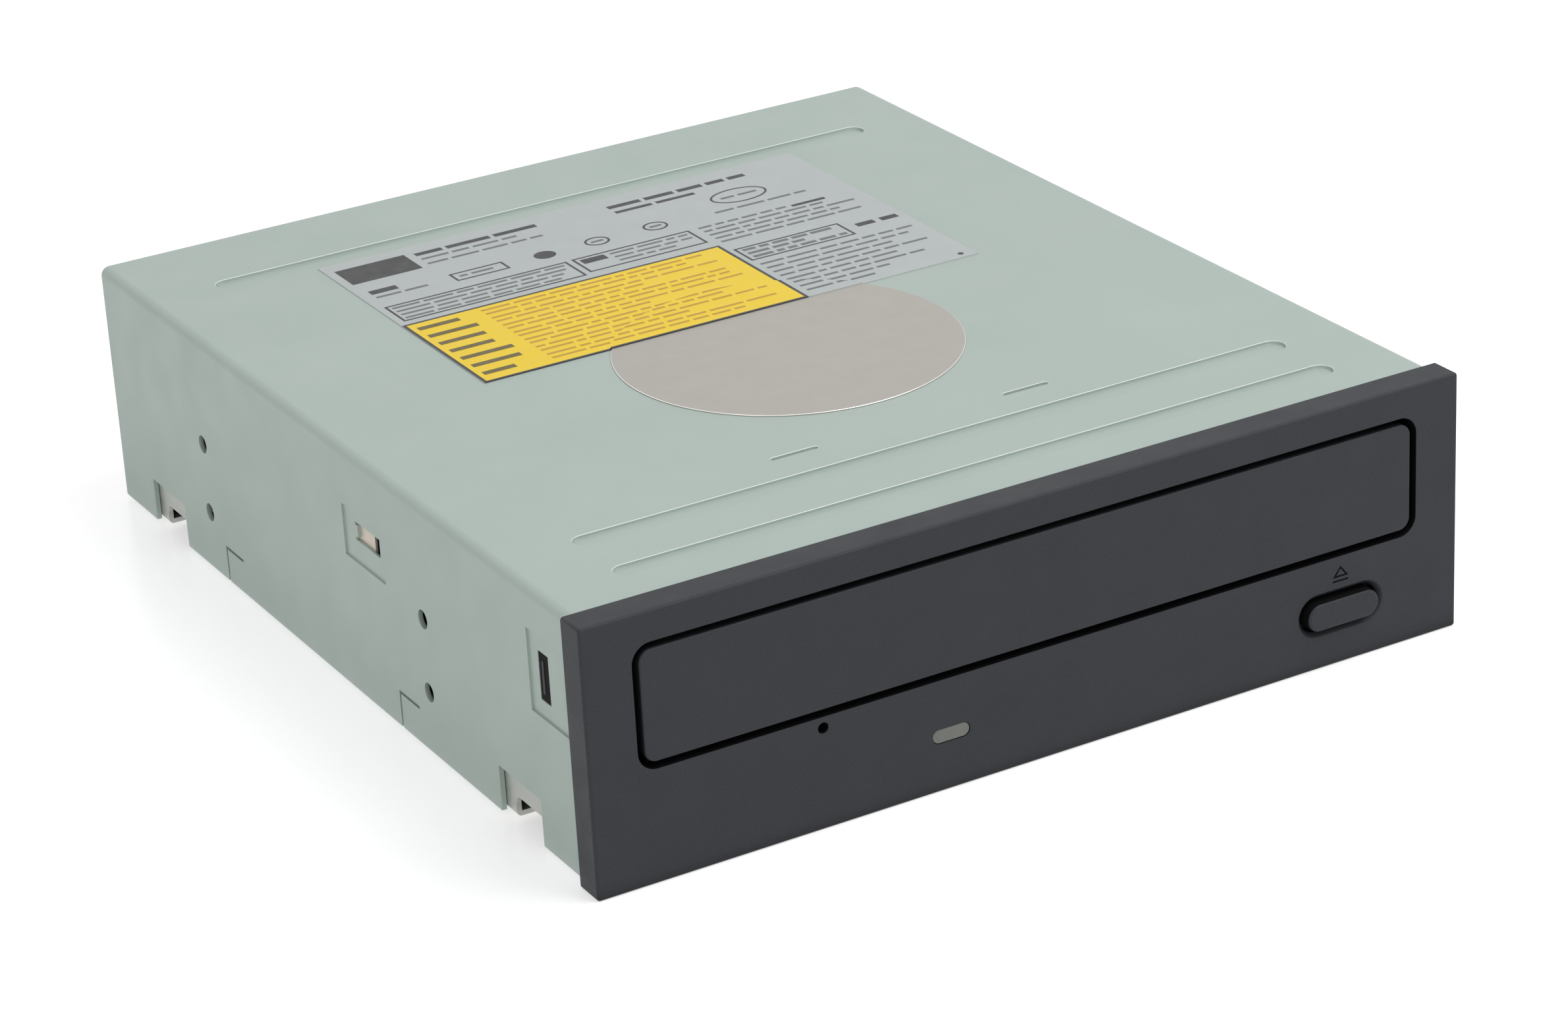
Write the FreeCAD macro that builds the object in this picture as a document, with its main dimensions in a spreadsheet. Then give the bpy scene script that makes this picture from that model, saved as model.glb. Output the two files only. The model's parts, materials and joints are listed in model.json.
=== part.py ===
import FreeCAD, Part
import math
import os
import Sketcher

# Internal half-height optical disc drive with a motor-driven tray, built in millimetres.
# X runs across the drive, -Y is the front, +Z is up. The origin lies under the middle of the drive,
# on the surface that it stands on.

# Every driving size has a name and one value. The sheet holds them all, and each feature is bound to it.
SIZES = [
    # Outer form
    ("bezel_width", 148.0), ("bezel_height", 41.6), ("bezel_depth", 5.2), ("bezel_wall", 2.4),
    ("bezel_rim", 2.3), ("bezel_edge_round", 0.5),
    ("body_width", 146.05), ("body_depth", 164.8), ("body_bottom", 0.7), ("cover_top", 41.2),
    ("sheet_metal", 0.8), ("bend_round", 1.6), ("sheet_gap", 0.1),
    # Holes that bolt the drive into its bay, by the half-height drive standard
    ("mount_first", 47.4), ("mount_pitch", 79.25), ("side_hole_low", 10.0), ("side_hole_rise", 11.84),
    ("bottom_hole_span", 139.7), ("side_hole_radius", 1.5), ("bottom_hole_radius", 1.25),
    # Pressed and cut forms of the cover
    ("bead_length", 122.0), ("bead_width", 4.0), ("bead_depth", 0.5), ("bead_first", 8.7),
    ("bead_second", 20.7), ("bead_rear_inset", 21.0), ("mark_length", 8.0), ("mark_width", 1.0),
    ("mark_offset", 20.0), ("mark_setback", 29.4),
    ("notch_front", 12.6), ("notch_rear", 137.6), ("notch_length", 13.0), ("notch_height", 7.3),
    ("arch_inset", 0.4), ("arch_length", 9.6), ("arch_height", 3.6), ("arch_round", 1.6), ("arch_depth", 6.4),
    ("lance_front", 51.4), ("lance_rear", 114.6), ("lance_length", 6.8), ("lance_height", 6.1),
    ("slit_width", 0.5), ("catch_setback", 9.0), ("catch_length", 3.0), ("catch_low", 24.6),
    ("catch_height", 7.6), ("catch_margin", 2.6), ("catch_dish", 0.35),
    ("tab_setback", 65.4), ("tab_length", 8.4), ("tab_low", 27.0), ("tab_height", 3.0),
    ("tab_margin", 3.6), ("tab_reach", 1.6), ("skirt_height", 17.4), ("side_rear_inset", 1.0),
    ("clamp_hole_radius", 22.0), ("foil_radius", 27.3), ("foil_thick", 0.2),
    ("sticker_width", 89.0), ("sticker_depth", 60.0), ("sticker_setback", 80.6), ("sticker_thick", 0.12),
    # Bottom pan
    ("pan_flange", 8.4), ("pan_rear_height", 25.4), ("pan_rib_depth", 0.5), ("dimple_radius", 4.2),
    ("dimple_depth", 0.9), ("rib_offset", 26.0), ("rib_setback", 102.2), ("rib_length", 36.0),
    ("rib_width", 6.0), ("screw_head_inset", 1.2), ("screw_head_thick", 0.7), ("pan_screw_length", 6.0),
    ("driver_reach", 1.4), ("driver_slot", 0.5), ("driver_depth", 0.35), ("foot_radius", 2.6),
    ("foot_span", 104.0), ("foot_pitch", 58.0),
    ("foot_inset", 13.0), ("pan_screw_span", 124.0), ("pan_screw_front", 24.0), ("pan_screw_rear", 140.0),
    # Openings of the bezel, measured from the middle of its face and from its foot
    ("door_width", 130.4), ("door_height", 17.1), ("door_low", 18.7), ("door_gap", 1.1),
    ("door_thick", 2.2), ("door_round", 1.9), ("door_edge_round", 0.3),
    ("lamp_x", -16.2), ("lamp_z", 8.8), ("lamp_length", 6.3), ("lamp_width", 2.3), ("lamp_gap", 0.05),
    ("lamp_setback", 2.3), ("switch_setback", 1.6), ("switch_depth", 3.8), ("switch_stem", 1.6),
    ("needle_x", -37.1), ("needle_z", 15.9), ("needle_radius", 0.85),
    ("button_x", 52.4), ("button_z", 8.9), ("button_length", 12.9), ("button_width", 4.4),
    ("button_proud", 1.0), ("button_edge", 0.5), ("button_gap", 0.55), ("button_bevel", 0.75),
    ("stop_flange", 1.2),
    ("stop_thick", 1.0), ("stem_width", 3.2), ("stem_height", 2.4), ("stem_gap", 0.1),
    ("mark_groove", 0.25), ("mark_sink", 0.15), ("mark_size", 2.8), ("mark_tall", 1.74), ("mark_rise", 4.6),
    ("hook_thick", 1.8), ("hook_root", 0.5),
    # Tray and the frame that carries it
    ("spindle_setback", 65.3), ("tray_width", 129.0), ("tray_low", 21.0), ("tray_thick", 6.0),
    ("tray_floor", 2.4), ("tray_rear", 154.0), ("disc_recess_radius", 60.6), ("small_recess_radius", 40.6),
    ("small_recess_depth", 0.9), ("tray_slot_radius", 18.6), ("tray_lip_height", 13.0),
    ("tray_lip_thick", 1.8), ("tray_rim", 7.0), ("scallop_radius", 11.0), ("scallop_inset", 7.0),
    ("scallop_setback", 10.0),
    ("back_pocket_setback", 49.7), ("back_pocket_step", 0.6), ("recess_lead_in", 0.6), ("lip_inset", 1.5),
    ("lip_drop", 0.4), ("rack_foot", 2.0), ("run_gap", 0.3),
    ("frame_inside", 65.1), ("frame_wall", 3.4), ("frame_top", 30.2), ("rail_width", 3.2),
    ("rail_thick", 1.8), ("holddown_length", 8.0), ("holddown_front", 12.0), ("holddown_middle", 62.0),
    ("holddown_rear", 128.0), ("frame_front_gap", 3.0), ("bearing_reach", 5.0), ("beam_setback", 8.0),
    ("beam_thick", 2.5), ("pilot_depth", 8.0), ("holddown_gap", 0.4), ("holddown_thick", 1.4),
    ("deck_low", 10.4), ("deck_thick", 2.0), ("deck_depth", 30.2), ("cross_wall", 1.8),
    ("cross_wall_top", 17.3), ("hook_span", 34.0), ("hook_width", 8.0), ("hook_height", 1.2),
    ("button_slot", 10.0), ("screw_boss_radius", 3.2), ("pilot_radius", 1.05),
    # Loading drive
    ("rack_line", -57.4), ("rack_module", 1.0), ("tray_gear_teeth", 20), ("train_module", 0.8),
    ("lower_gear_teeth", 28), ("pinion_teeth", 12), ("idler_teeth", 30), ("mesh_gap", 0.2),
    ("tray_gear_setback", 14.6), ("idler_setback", 16.6), ("pulley_setback", 13.6),
    ("post_radius", 1.5), ("bore_gap", 0.06), ("gear_hub_radius", 2.7), ("hub_gap", 0.15),
    ("idler_top_gap", 1.1), ("big_ring_low", 1.0), ("big_ring_thick", 2.2), ("ring_gap", 0.5),
    ("tooth_slack", 0.13), ("groove_depth", 1.0), ("groove_gap", 0.15), ("motor_flat", 1.0),
    ("collar_inset", 0.2), ("collar_gap", 0.05),
    ("pulley_radius", 12.4), ("belt_side", 1.2), ("belt_gap", 0.25), ("motor_pulley_radius", 2.9),
    ("pulley_thick", 2.2), ("pulley_low", 18.3), ("belt_span", 30.0), ("motor_radius", 12.0),
    ("motor_height", 12.4),
    ("cam_travel", 14.0), ("cam_thick", 2.6), ("cam_gap", 0.25), ("cam_length", 84.0), ("cam_low", 2.9),
    ("cam_height", 14.2), ("cam_pin_radius", 1.4), ("cam_pin_gap", 0.35), ("cam_pin_x", 20.0),
    ("cam_tooth_count", 4), ("cam_tooth_inset", 3.0), ("cam_tooth_root", 1.1), ("cam_tooth_tip", 0.4),
    ("cam_tooth_rise", 0.2),
    # Clamp above the disc
    ("bridge_thick", 1.4), ("bridge_depth", 34.0), ("bridge_hole_radius", 12.6), ("bridge_rib", 2.2),
    ("window_near", 20.0), ("window_far", 56.0), ("window_reach", 10.0),
    ("bridge_collar", 3.0), ("bridge_screw_inset", 4.0), ("bridge_screw_radius", 1.2),
    ("bridge_head_radius", 2.2), ("bridge_head", 1.0), ("screw_gap", 0.1), ("puck_lead_in", 0.6),
    ("puck_low", 27.9), ("puck_radius", 15.5), ("puck_disc", 1.7), ("puck_neck_radius", 12.0),
    ("clamp_cap_radius", 15.0), ("clamp_cap_thick", 1.2), ("cap_boss_radius", 4.0), ("cap_boss", 0.8),
    ("puck_hollow_radius", 8.4),
    ("puck_hollow_depth", 1.4), ("clamp_magnet_radius", 6.5), ("clamp_magnet_thick", 1.6),
    # Spindle
    ("shaft_radius", 1.25), ("turntable_radius", 14.5), ("turntable_low", 20.8), ("turntable_thick", 4.2),
    ("mat_inner_radius", 9.6), ("mat_thick", 0.4), ("hub_radius", 7.4), ("hub_top_radius", 6.6),
    ("hub_height", 2.4), ("rotor_radius", 12.6), ("rotor_low", 16.4), ("rotor_wall", 1.0),
    ("rotor_top_gap", 0.2), ("shaft_top", 3.4), ("shaft_foot", 1.4),
    ("table_lead_in", 0.8), ("hub_wall", 3.0), ("hub_floor", 0.6), ("mat_inset", 0.3),
    ("stator_radius", 11.0), ("stator_top", 2.6), ("stator_slots", 9), ("slot_width", 1.4),
    ("slot_root", 2.2), ("slot_tip", 1.6), ("bearing_radius", 3.0), ("bearing_top", 2.8),
    ("bearing_foot", 1.2), ("press_gap", 0.02), ("motor_plate_width", 34.0), ("motor_plate", 1.0),
    # Tilting traverse with the laser pickup
    ("pivot_setback", 76.0), ("pivot_z", 14.0), ("pivot_radius", 2.4), ("tilt_drop", 4.5),
    ("holder_width", 100.0), ("holder_low", 11.3), ("holder_base", 1.6), ("holder_wall", 1.8),
    ("holder_height", 6.2), ("holder_rail", 7.4), ("boss_drop", 1.2), ("boss_wall", 1.2),
    ("trunnion_reach", 4.0), ("trunnion_root", 1.0), ("base_side_gap", 1.2), ("base_front_gap", 1.5),
    ("base_rear_gap", 3.0), ("rotor_clear", 1.2), ("window_gap", 0.6), ("window_end", 1.5),
    ("plate_hole_x", 13.5), ("plate_hole_setback", 12.5), ("plate_hole_radius", 1.05),
    ("base_thick", 1.5), ("base_low", 14.5),
    ("damper_x", 44.4), ("damper_front", 16.0), ("damper_rear", 64.0), ("damper_radius", 3.4),
    ("damper_neck_radius", 2.0), ("damper_screw_radius", 0.9), ("damper_head_radius", 2.6),
    ("damper_head", 0.8), ("rod_radius", 1.5), ("rod_x", 30.0), ("rod_z", 17.6), ("rod_gap", 0.06),
    ("rod_front", 8.0), ("clip_half", 2.6), ("clip_length", 4.0), ("clip_cover", 0.9),
    ("clip_end_gap", 0.2), ("clip_front_gap", 0.3),
    ("pickup_low", 13.0), ("pickup_top", 20.2), ("pickup_width", 48.0), ("pickup_length", 19.0),
    ("pickup_corner", 5.0), ("pickup_slope", 3.0), ("pickup_nose", 12.0),
    ("pickup_nose_gap", 0.5), ("pickup_step", 0.6), ("arm_wall", 1.6), ("arm_low", 2.8), ("arm_step", 0.2),
    ("left_arm", 7.0), ("right_arm", 4.0), ("well_half", 9.0), ("well_reach", 7.4), ("well_floor", 2.4),
    ("port_inset", 6.0), ("port_radius", 3.2), ("port_floor", 4.8),
    ("lens_radius_min", 24.0), ("pickup_travel", 35.0), ("lens_radius", 2.4), ("lens_seat", 1.9),
    ("lens_ledge", 0.5),
    ("lens_edge", 0.7), ("lens_middle", 1.1), ("lens_crown", 1.4), ("lens_thick", 1.5),
    ("magnet_half", 6.0), ("magnet_place", 6.2), ("magnet_thick", 2.0), ("magnet_drop", 1.6),
    ("holder_half", 8.6), ("holder_reach", 4.6), ("holder_round", 1.2), ("holder_drop", 3.6),
    ("holder_top_drop", 0.9), ("follower_half", 3.5), ("follower_side", 3.4), ("follower_wall", 1.5),
    ("screw_x", 36.5), ("screw_z", 15.5), ("screw_radius", 1.5), ("sled_motor_radius", 5.0),
    ("sled_motor_length", 14.0), ("sled_setback", 12.0), ("sled_gap", 0.5), ("lug_side", 3.6),
    ("lug_drop", 3.5), ("lug_thick", 1.0), ("lug_foot", 5.0), ("lug_foot_side", 1.0), ("lug_trim", 0.8),
    ("screw_end", 1.0), ("post_half", 3.0), ("post_front", 1.5), ("post_wall", 0.4), ("post_height", 2.6),
    ("post_drop", 3.0), ("screw_play", 0.2),
    # Boards and sockets
    ("board_thick", 1.6), ("board_low", 4.2), ("main_board_width", 116.0), ("main_board_depth", 79.0),
    ("front_board_width", 80.0), ("front_board_depth", 21.0), ("front_board_x", 16.0),
    ("controller_x", 4.0), ("controller_setback", 24.0), ("controller_side", 20.0),
    ("controller_high", 1.4),
    ("memory_x", -26.0), ("memory_setback", 34.0), ("memory_width", 11.0), ("memory_length", 18.0),
    ("memory_high", 1.1), ("driver_x", 34.0), ("driver_setback", 30.0), ("driver_width", 14.0),
    ("driver_length", 10.0), ("driver_high", 2.0), ("switch_half", 3.0), ("switch_top", 2.4),
    ("plunger_half", 1.2), ("plunger_rise", 0.8), ("plunger_bore", 2.2), ("plunger_gap", 0.1),
    ("plunger_root", 0.7), ("plunger_tip_gap", 0.05), ("lamp_half", 1.8), ("lamp_foot", 0.8),
    ("lamp_back", 2.4), ("lamp_top", 1.2), ("lamp_dome", 1.0),
    ("ide_x", 2.6), ("ide_width", 58.4), ("ide_height", 8.9), ("socket_depth", 9.6),
    ("socket_wall", 1.1), ("socket_base", 2.0), ("key_half", 2.2), ("key_height", 1.5),
    ("ide_columns", 20), ("power_ways", 4), ("jumper_columns", 3), ("audio_ways", 4), ("pin_rows", 2),
    ("header_edge", 1.0), ("header_thick", 3.0), ("pin_back", 0.8), ("pin_front", 2.6), ("pin_fit", 0.02),
    ("cap_half", 1.2), ("cap_rise", 2.5), ("cap_front", 1.6), ("cap_gap", 0.1), ("cap_bore", 0.33),
    ("audio_drop", 1.6),
    ("pin_pitch", 2.54), ("pin_side", 0.64), ("power_x", -50.0), ("power_width", 22.4),
    ("power_height", 9.6), ("power_pitch", 5.08), ("power_pin_radius", 1.05),
    ("ribbon_x", 40.0), ("ribbon_width", 12.0), ("ribbon_thick", 0.3), ("ribbon_front", 2.0),
    ("ribbon_back", 4.0),
    ("jumper_x", 40.6), ("audio_x", 53.4), ("audio_width", 12.4),
]

doc = FreeCAD.newDocument("optical_drive")
sheet = doc.addObject("Spreadsheet::Sheet", "Sizes")


class Size:
    """A length and the sheet formula that gives it, so that features can be bound to the formula."""

    def __init__(self, value, formula):
        self.value = float(value)
        self.formula = formula

    def __add__(self, other):
        other = as_size(other)
        return Size(self.value + other.value, "(%s + %s)" % (self.formula, other.formula))

    def __sub__(self, other):
        other = as_size(other)
        return Size(self.value - other.value, "(%s - %s)" % (self.formula, other.formula))

    def __mul__(self, other):
        other = as_size(other)
        return Size(self.value * other.value, "(%s * %s)" % (self.formula, other.formula))

    def __truediv__(self, other):
        other = as_size(other)
        return Size(self.value / other.value, "(%s / %s)" % (self.formula, other.formula))

    def __radd__(self, other):
        return as_size(other) + self

    def __rsub__(self, other):
        return as_size(other) - self

    def __rmul__(self, other):
        return as_size(other) * self

    def __neg__(self):
        return self * -1


def as_size(number):
    return number if isinstance(number, Size) else Size(number, "(%.6f)" % number)


def whole(size):
    """A count, as a whole number."""
    return int(round(size.value))


def square_root(size):
    return Size(math.sqrt(size.value), "sqrt%s" % size.formula)


def sine(degrees):
    return Size(math.sin(math.radians(degrees.value)), "sin(%s * 1 deg)" % degrees.formula)


class Sizes:
    """Gives each named size of the sheet as an attribute."""


of = Sizes()
for row, (word, number) in enumerate(SIZES, start=1):
    sheet.set("A%d" % row, word.replace("_", " "))
    sheet.set("B%d" % row, str(number))
    sheet.setAlias("B%d" % row, word)
    setattr(of, word, Size(number, "Sizes.%s" % word))
doc.recompute()


def bind(thing, path, size):
    thing.setExpression(path, as_size(size).formula)


# Planes of a body's own origin: which way a sketch on each faces along its axis.
PLANES = {"XY": ("XY_Plane", 1), "XZ": ("XZ_Plane", -1), "YZ": ("YZ_Plane", 1)}


def new_body(label):
    body = doc.addObject("PartDesign::Body", label)
    body.Label = label
    return body


def origin_part(body, role):
    return [item for item in body.Origin.OriginFeatures if item.Role == role][0]


def add_sketch(body, plane, level):
    """Sketch on one of the body's origin planes, moved along the plane's axis to the level."""
    role, facing = PLANES[plane]
    sketch = body.newObject("Sketcher::SketchObject", "Outline")
    sketch.AttachmentSupport = [(origin_part(body, role), "")]
    sketch.MapMode = "FlatFace"
    bind(sketch, "AttachmentOffset.Base.z", as_size(level) * facing)
    return sketch


def pin_point(sketch, piece, end, across, up):
    """Ties one point of a sketch to its two coordinates."""
    for kind, size in (("DistanceX", as_size(across)), ("DistanceY", as_size(up))):
        number = sketch.addConstraint(Sketcher.Constraint(kind, -1, 1, piece, end, size.value))
        sketch.setExpression("Constraints[%d]" % number, size.formula)


def pin_radius(sketch, piece, radius):
    radius = as_size(radius)
    number = sketch.addConstraint(Sketcher.Constraint("Radius", piece, radius.value))
    sketch.setExpression("Constraints[%d]" % number, radius.formula)


def vector(across, up):
    return FreeCAD.Vector(as_size(across).value, as_size(up).value, 0)


def polygon(*corners):
    def draw(sketch):
        count = len(corners)
        first = sketch.GeometryCount
        for i in range(count):
            sketch.addGeometry(Part.LineSegment(vector(*corners[i]), vector(*corners[(i + 1) % count])))
        for i in range(count):
            sketch.addConstraint(Sketcher.Constraint("Coincident", first + i, 2, first + (i + 1) % count, 1))
            pin_point(sketch, first + i, 1, *corners[i])
    return draw


def rectangle(left, right, low, high):
    return polygon((left, low), (right, low), (right, high), (left, high))


def circle(across, up, radius):
    def draw(sketch):
        curve = Part.Circle(vector(across, up), FreeCAD.Vector(0, 0, 1), as_size(radius).value)
        piece = sketch.addGeometry(curve)
        pin_point(sketch, piece, 3, across, up)
        pin_radius(sketch, piece, radius)
    return draw


def add_arc(sketch, centre, radius, start, sweep=90):
    curve = Part.Circle(vector(*centre), FreeCAD.Vector(0, 0, 1), as_size(radius).value)
    return sketch.addGeometry(Part.ArcOfCircle(curve, math.radians(start), math.radians(start + sweep)))


def obround(across, up, length, width):
    """Slot with round ends, lying along the sketch's first axis."""
    radius = as_size(width) / 2
    reach = (as_size(length) - width) / 2

    def draw(sketch):
        high, low = as_size(up) + radius, as_size(up) - radius
        right, left = as_size(across) + reach, as_size(across) - reach
        base = sketch.addGeometry(Part.LineSegment(vector(left, low), vector(right, low)))
        end = add_arc(sketch, (right, up), radius, -90, 180)
        top = sketch.addGeometry(Part.LineSegment(vector(right, high), vector(left, high)))
        back = add_arc(sketch, (left, up), radius, 90, 180)
        for one, other in ((base, end), (end, top), (top, back), (back, base)):
            sketch.addConstraint(Sketcher.Constraint("Tangent", one, 2, other, 1))
        sketch.addConstraint(Sketcher.Constraint("Horizontal", base))
        sketch.addConstraint(Sketcher.Constraint("Equal", end, back))
        pin_point(sketch, end, 3, right, up)
        number = sketch.addConstraint(Sketcher.Constraint("DistanceX", -1, 1, back, 3, left.value))
        sketch.setExpression("Constraints[%d]" % number, left.formula)
        pin_radius(sketch, end, radius)
    return draw


def rounded(left, right, low, high, radius):
    """Rectangle with four equal round corners."""
    def draw(sketch):
        corners = [(right, low, -90), (right, high, 0), (left, high, 90), (left, low, 180)]
        first = sketch.GeometryCount
        for i, (across, up, start) in enumerate(corners):
            inward = -1 if across is right else 1
            upward = -1 if up is high else 1
            centre = (as_size(across) + as_size(radius) * inward, as_size(up) + as_size(radius) * upward)
            add_arc(sketch, centre, radius, start)
        for i in range(4):
            one = sketch.Geometry[first + i].EndPoint
            other = sketch.Geometry[first + (i + 1) % 4].StartPoint
            side = sketch.addGeometry(Part.LineSegment(one, other))
            sketch.addConstraint(Sketcher.Constraint("Tangent", first + i, 2, side, 1))
            sketch.addConstraint(Sketcher.Constraint("Tangent", side, 2, first + (i + 1) % 4, 1))
            sketch.addConstraint(Sketcher.Constraint("Horizontal" if i % 2 else "Vertical", side))
        for kind, piece, size in (("DistanceY", first + 4, as_size(high) - radius),
                                  ("DistanceX", first + 5, as_size(left) + radius),
                                  ("DistanceY", first + 6, as_size(low) + radius),
                                  ("DistanceX", first + 7, as_size(right) - radius)):
            number = sketch.addConstraint(Sketcher.Constraint(kind, -1, 1, piece, 2, size.value))
            sketch.setExpression("Constraints[%d]" % number, size.formula)
        for i in range(4):
            pin_radius(sketch, first + i, radius)
    return draw


def extrude(body, kind, plane, low, high, *outlines):
    """Pad or pocket between two levels along the plane's axis."""
    low, high = as_size(low), as_size(high)
    sketch = add_sketch(body, plane, low)
    for outline in outlines:
        outline(sketch)
    feature = body.newObject("PartDesign::" + kind, kind)
    feature.Profile = sketch
    bind(feature, "Length", high - low)
    facing = PLANES[plane][1]
    feature.Reversed = (facing < 0) if kind == "Pad" else (facing > 0)
    return feature


def pad(body, plane, low, high, *outlines):
    return extrude(body, "Pad", plane, low, high, *outlines)


def pocket(body, plane, low, high, *outlines):
    return extrude(body, "Pocket", plane, low, high, *outlines)


def revolve(body, kind, profile, axis_x, axis_y):
    """Solid of revolution about an upright line, from a profile drawn as radius and height."""
    sketch = add_sketch(body, "XZ", axis_y)
    polygon(*[(as_size(axis_x) + radius, height) for radius, height in profile])(sketch)
    foot, top = vector(axis_x, 0), vector(axis_x, 10)
    line = sketch.addGeometry(Part.LineSegment(foot, top), True)
    pin_point(sketch, line, 1, axis_x, 0)
    pin_point(sketch, line, 2, axis_x, 10)
    feature = body.newObject("PartDesign::" + kind, kind)
    feature.Profile = sketch
    feature.ReferenceAxis = (sketch, ["Axis0"])
    feature.Angle = 360
    return feature


def dress(body, kind, size, pick):
    """Fillet or chamfer on the edges of the body that pick chooses."""
    doc.recompute()
    base = body.Tip
    names = ["Edge%d" % (i + 1) for i, edge in enumerate(base.Shape.Edges) if pick(edge)]
    feature = body.newObject("PartDesign::" + kind, kind)
    feature.Base = (base, names)
    bind(feature, "Radius" if kind == "Fillet" else "Size", size)
    return feature


def edge_along(edge, axis):
    """True for a straight edge along the axis, 0, 1 or 2."""
    if len(edge.Vertexes) < 2 or not isinstance(edge.Curve, Part.Line):
        return False
    run = edge.Vertexes[1].Point - edge.Vertexes[0].Point
    return abs(abs(run[axis]) - run.Length) < 1e-6


def near(number, size, slack=0.01):
    return abs(number - as_size(size).value) < slack


def block(left, right, front, rear, low, high):
    box = doc.addObject("Part::Box", "Block")
    for word, one, other in (("Length", left, right), ("Width", front, rear), ("Height", low, high)):
        bind(box, word, as_size(other) - one)
    for letter, size in zip("xyz", (left, front, low)):
        bind(box, "Placement.Base." + letter, size)
    return box


TURN = {"X": (FreeCAD.Vector(0, 1, 0), 90), "Y": (FreeCAD.Vector(1, 0, 0), -90),
        "Z": (FreeCAD.Vector(0, 0, 1), 0)}


def rod(axis, low, high, one, other, radius):
    """Cylinder along an axis between two levels. one and other are its two other coordinates."""
    cylinder = doc.addObject("Part::Cylinder", "Round")
    cylinder.Placement = FreeCAD.Placement(FreeCAD.Vector(), FreeCAD.Rotation(*TURN[axis]))
    bind(cylinder, "Radius", radius)
    bind(cylinder, "Height", as_size(high) - low)
    place = {"X": (low, one, other), "Y": (one, low, other), "Z": (one, other, low)}[axis]
    for letter, size in zip("xyz", place):
        bind(cylinder, "Placement.Base." + letter, size)
    return cylinder


def fuse(*pieces):
    if len(pieces) == 1:
        return pieces[0]
    whole = doc.addObject("Part::MultiFuse", "Joined")
    whole.Shapes = list(pieces)
    return whole


def cut(base, *tools):
    rest = doc.addObject("Part::Cut", "Cut")
    rest.Base = base
    rest.Tool = fuse(*tools)
    return rest


def group(*pieces):
    """Like pieces that stay separate solids in one part."""
    whole = doc.addObject("Part::Compound", "Group")
    whole.Links = list(pieces)
    return whole


NODES = []


def keep(part, label=None):
    """Adds a finished part to those that are written out."""
    if label:
        part.Label = label
    NODES.append(part)
    return part


# Levels that many pieces share
BOTH = (-1, 1)
SEAT = (of.bezel_depth + of.button_proud - of.body_depth) / 2
FRONT = SEAT - of.bezel_depth
REAR = SEAT + of.body_depth
SIDE = of.body_width / 2
SPINDLE = SEAT + of.spindle_setback
COVER_INSIDE = SIDE - of.sheet_metal
FLANGE_OUTSIDE = COVER_INSIDE - of.sheet_gap
PAN_TOP = of.body_bottom + of.sheet_metal
COVER_CEILING = of.cover_top - of.sheet_metal
TRAY_TOP = of.tray_low + of.tray_thick
DISC_FLOOR = of.tray_low + of.tray_floor


def build_cover():
    """Folded sheet steel: top, both sides and a short skirt at the back."""
    body = new_body("top_cover")
    pad(body, "XZ", SEAT, REAR, rectangle(-SIDE, SIDE, of.body_bottom, of.cover_top))
    pocket(body, "XZ", SEAT, REAR - of.sheet_metal,
           rectangle(-COVER_INSIDE, COVER_INSIDE, of.body_bottom - 1, COVER_CEILING))
    skirt_low = of.cover_top - of.skirt_height
    pocket(body, "XZ", REAR - of.side_rear_inset, REAR + 1,
           rectangle(-SIDE - 1, SIDE + 1, of.body_bottom - 1, skirt_low))
    dress(body, "Fillet", of.bend_round, lambda edge: edge_along(edge, 1)
          and near(edge.CenterOfMass.z, of.cover_top) and near(abs(edge.CenterOfMass.x), SIDE))
    dress(body, "Fillet", of.bend_round, lambda edge: edge_along(edge, 0)
          and near(edge.CenterOfMass.z, of.cover_top) and near(edge.CenterOfMass.y, REAR))
    beads = [(SEAT + of.bead_first, 0, of.bead_length, of.bead_width),
             (SEAT + of.bead_second, 0, of.bead_length, of.bead_width),
             (REAR - of.bead_rear_inset, 0, of.bead_length, of.bead_width)]
    beads += [(SEAT + of.mark_setback, side * of.mark_offset, of.mark_length, of.mark_width)
              for side in BOTH]
    for setback, middle, length, width in beads:
        sunk = of.bead_depth
        pad(body, "XY", COVER_CEILING - sunk, COVER_CEILING + sunk / 4,
            obround(middle, setback, length + sunk, width + sunk))
        pocket(body, "XY", of.cover_top - sunk, of.cover_top + 1, obround(middle, setback, length, width))
    pocket(body, "XY", COVER_CEILING - 1, of.cover_top + 1, circle(0, SPINDLE, of.clamp_hole_radius))
    for side in BOTH:
        cut_cover_side(body, side)
    return keep(body)


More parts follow.
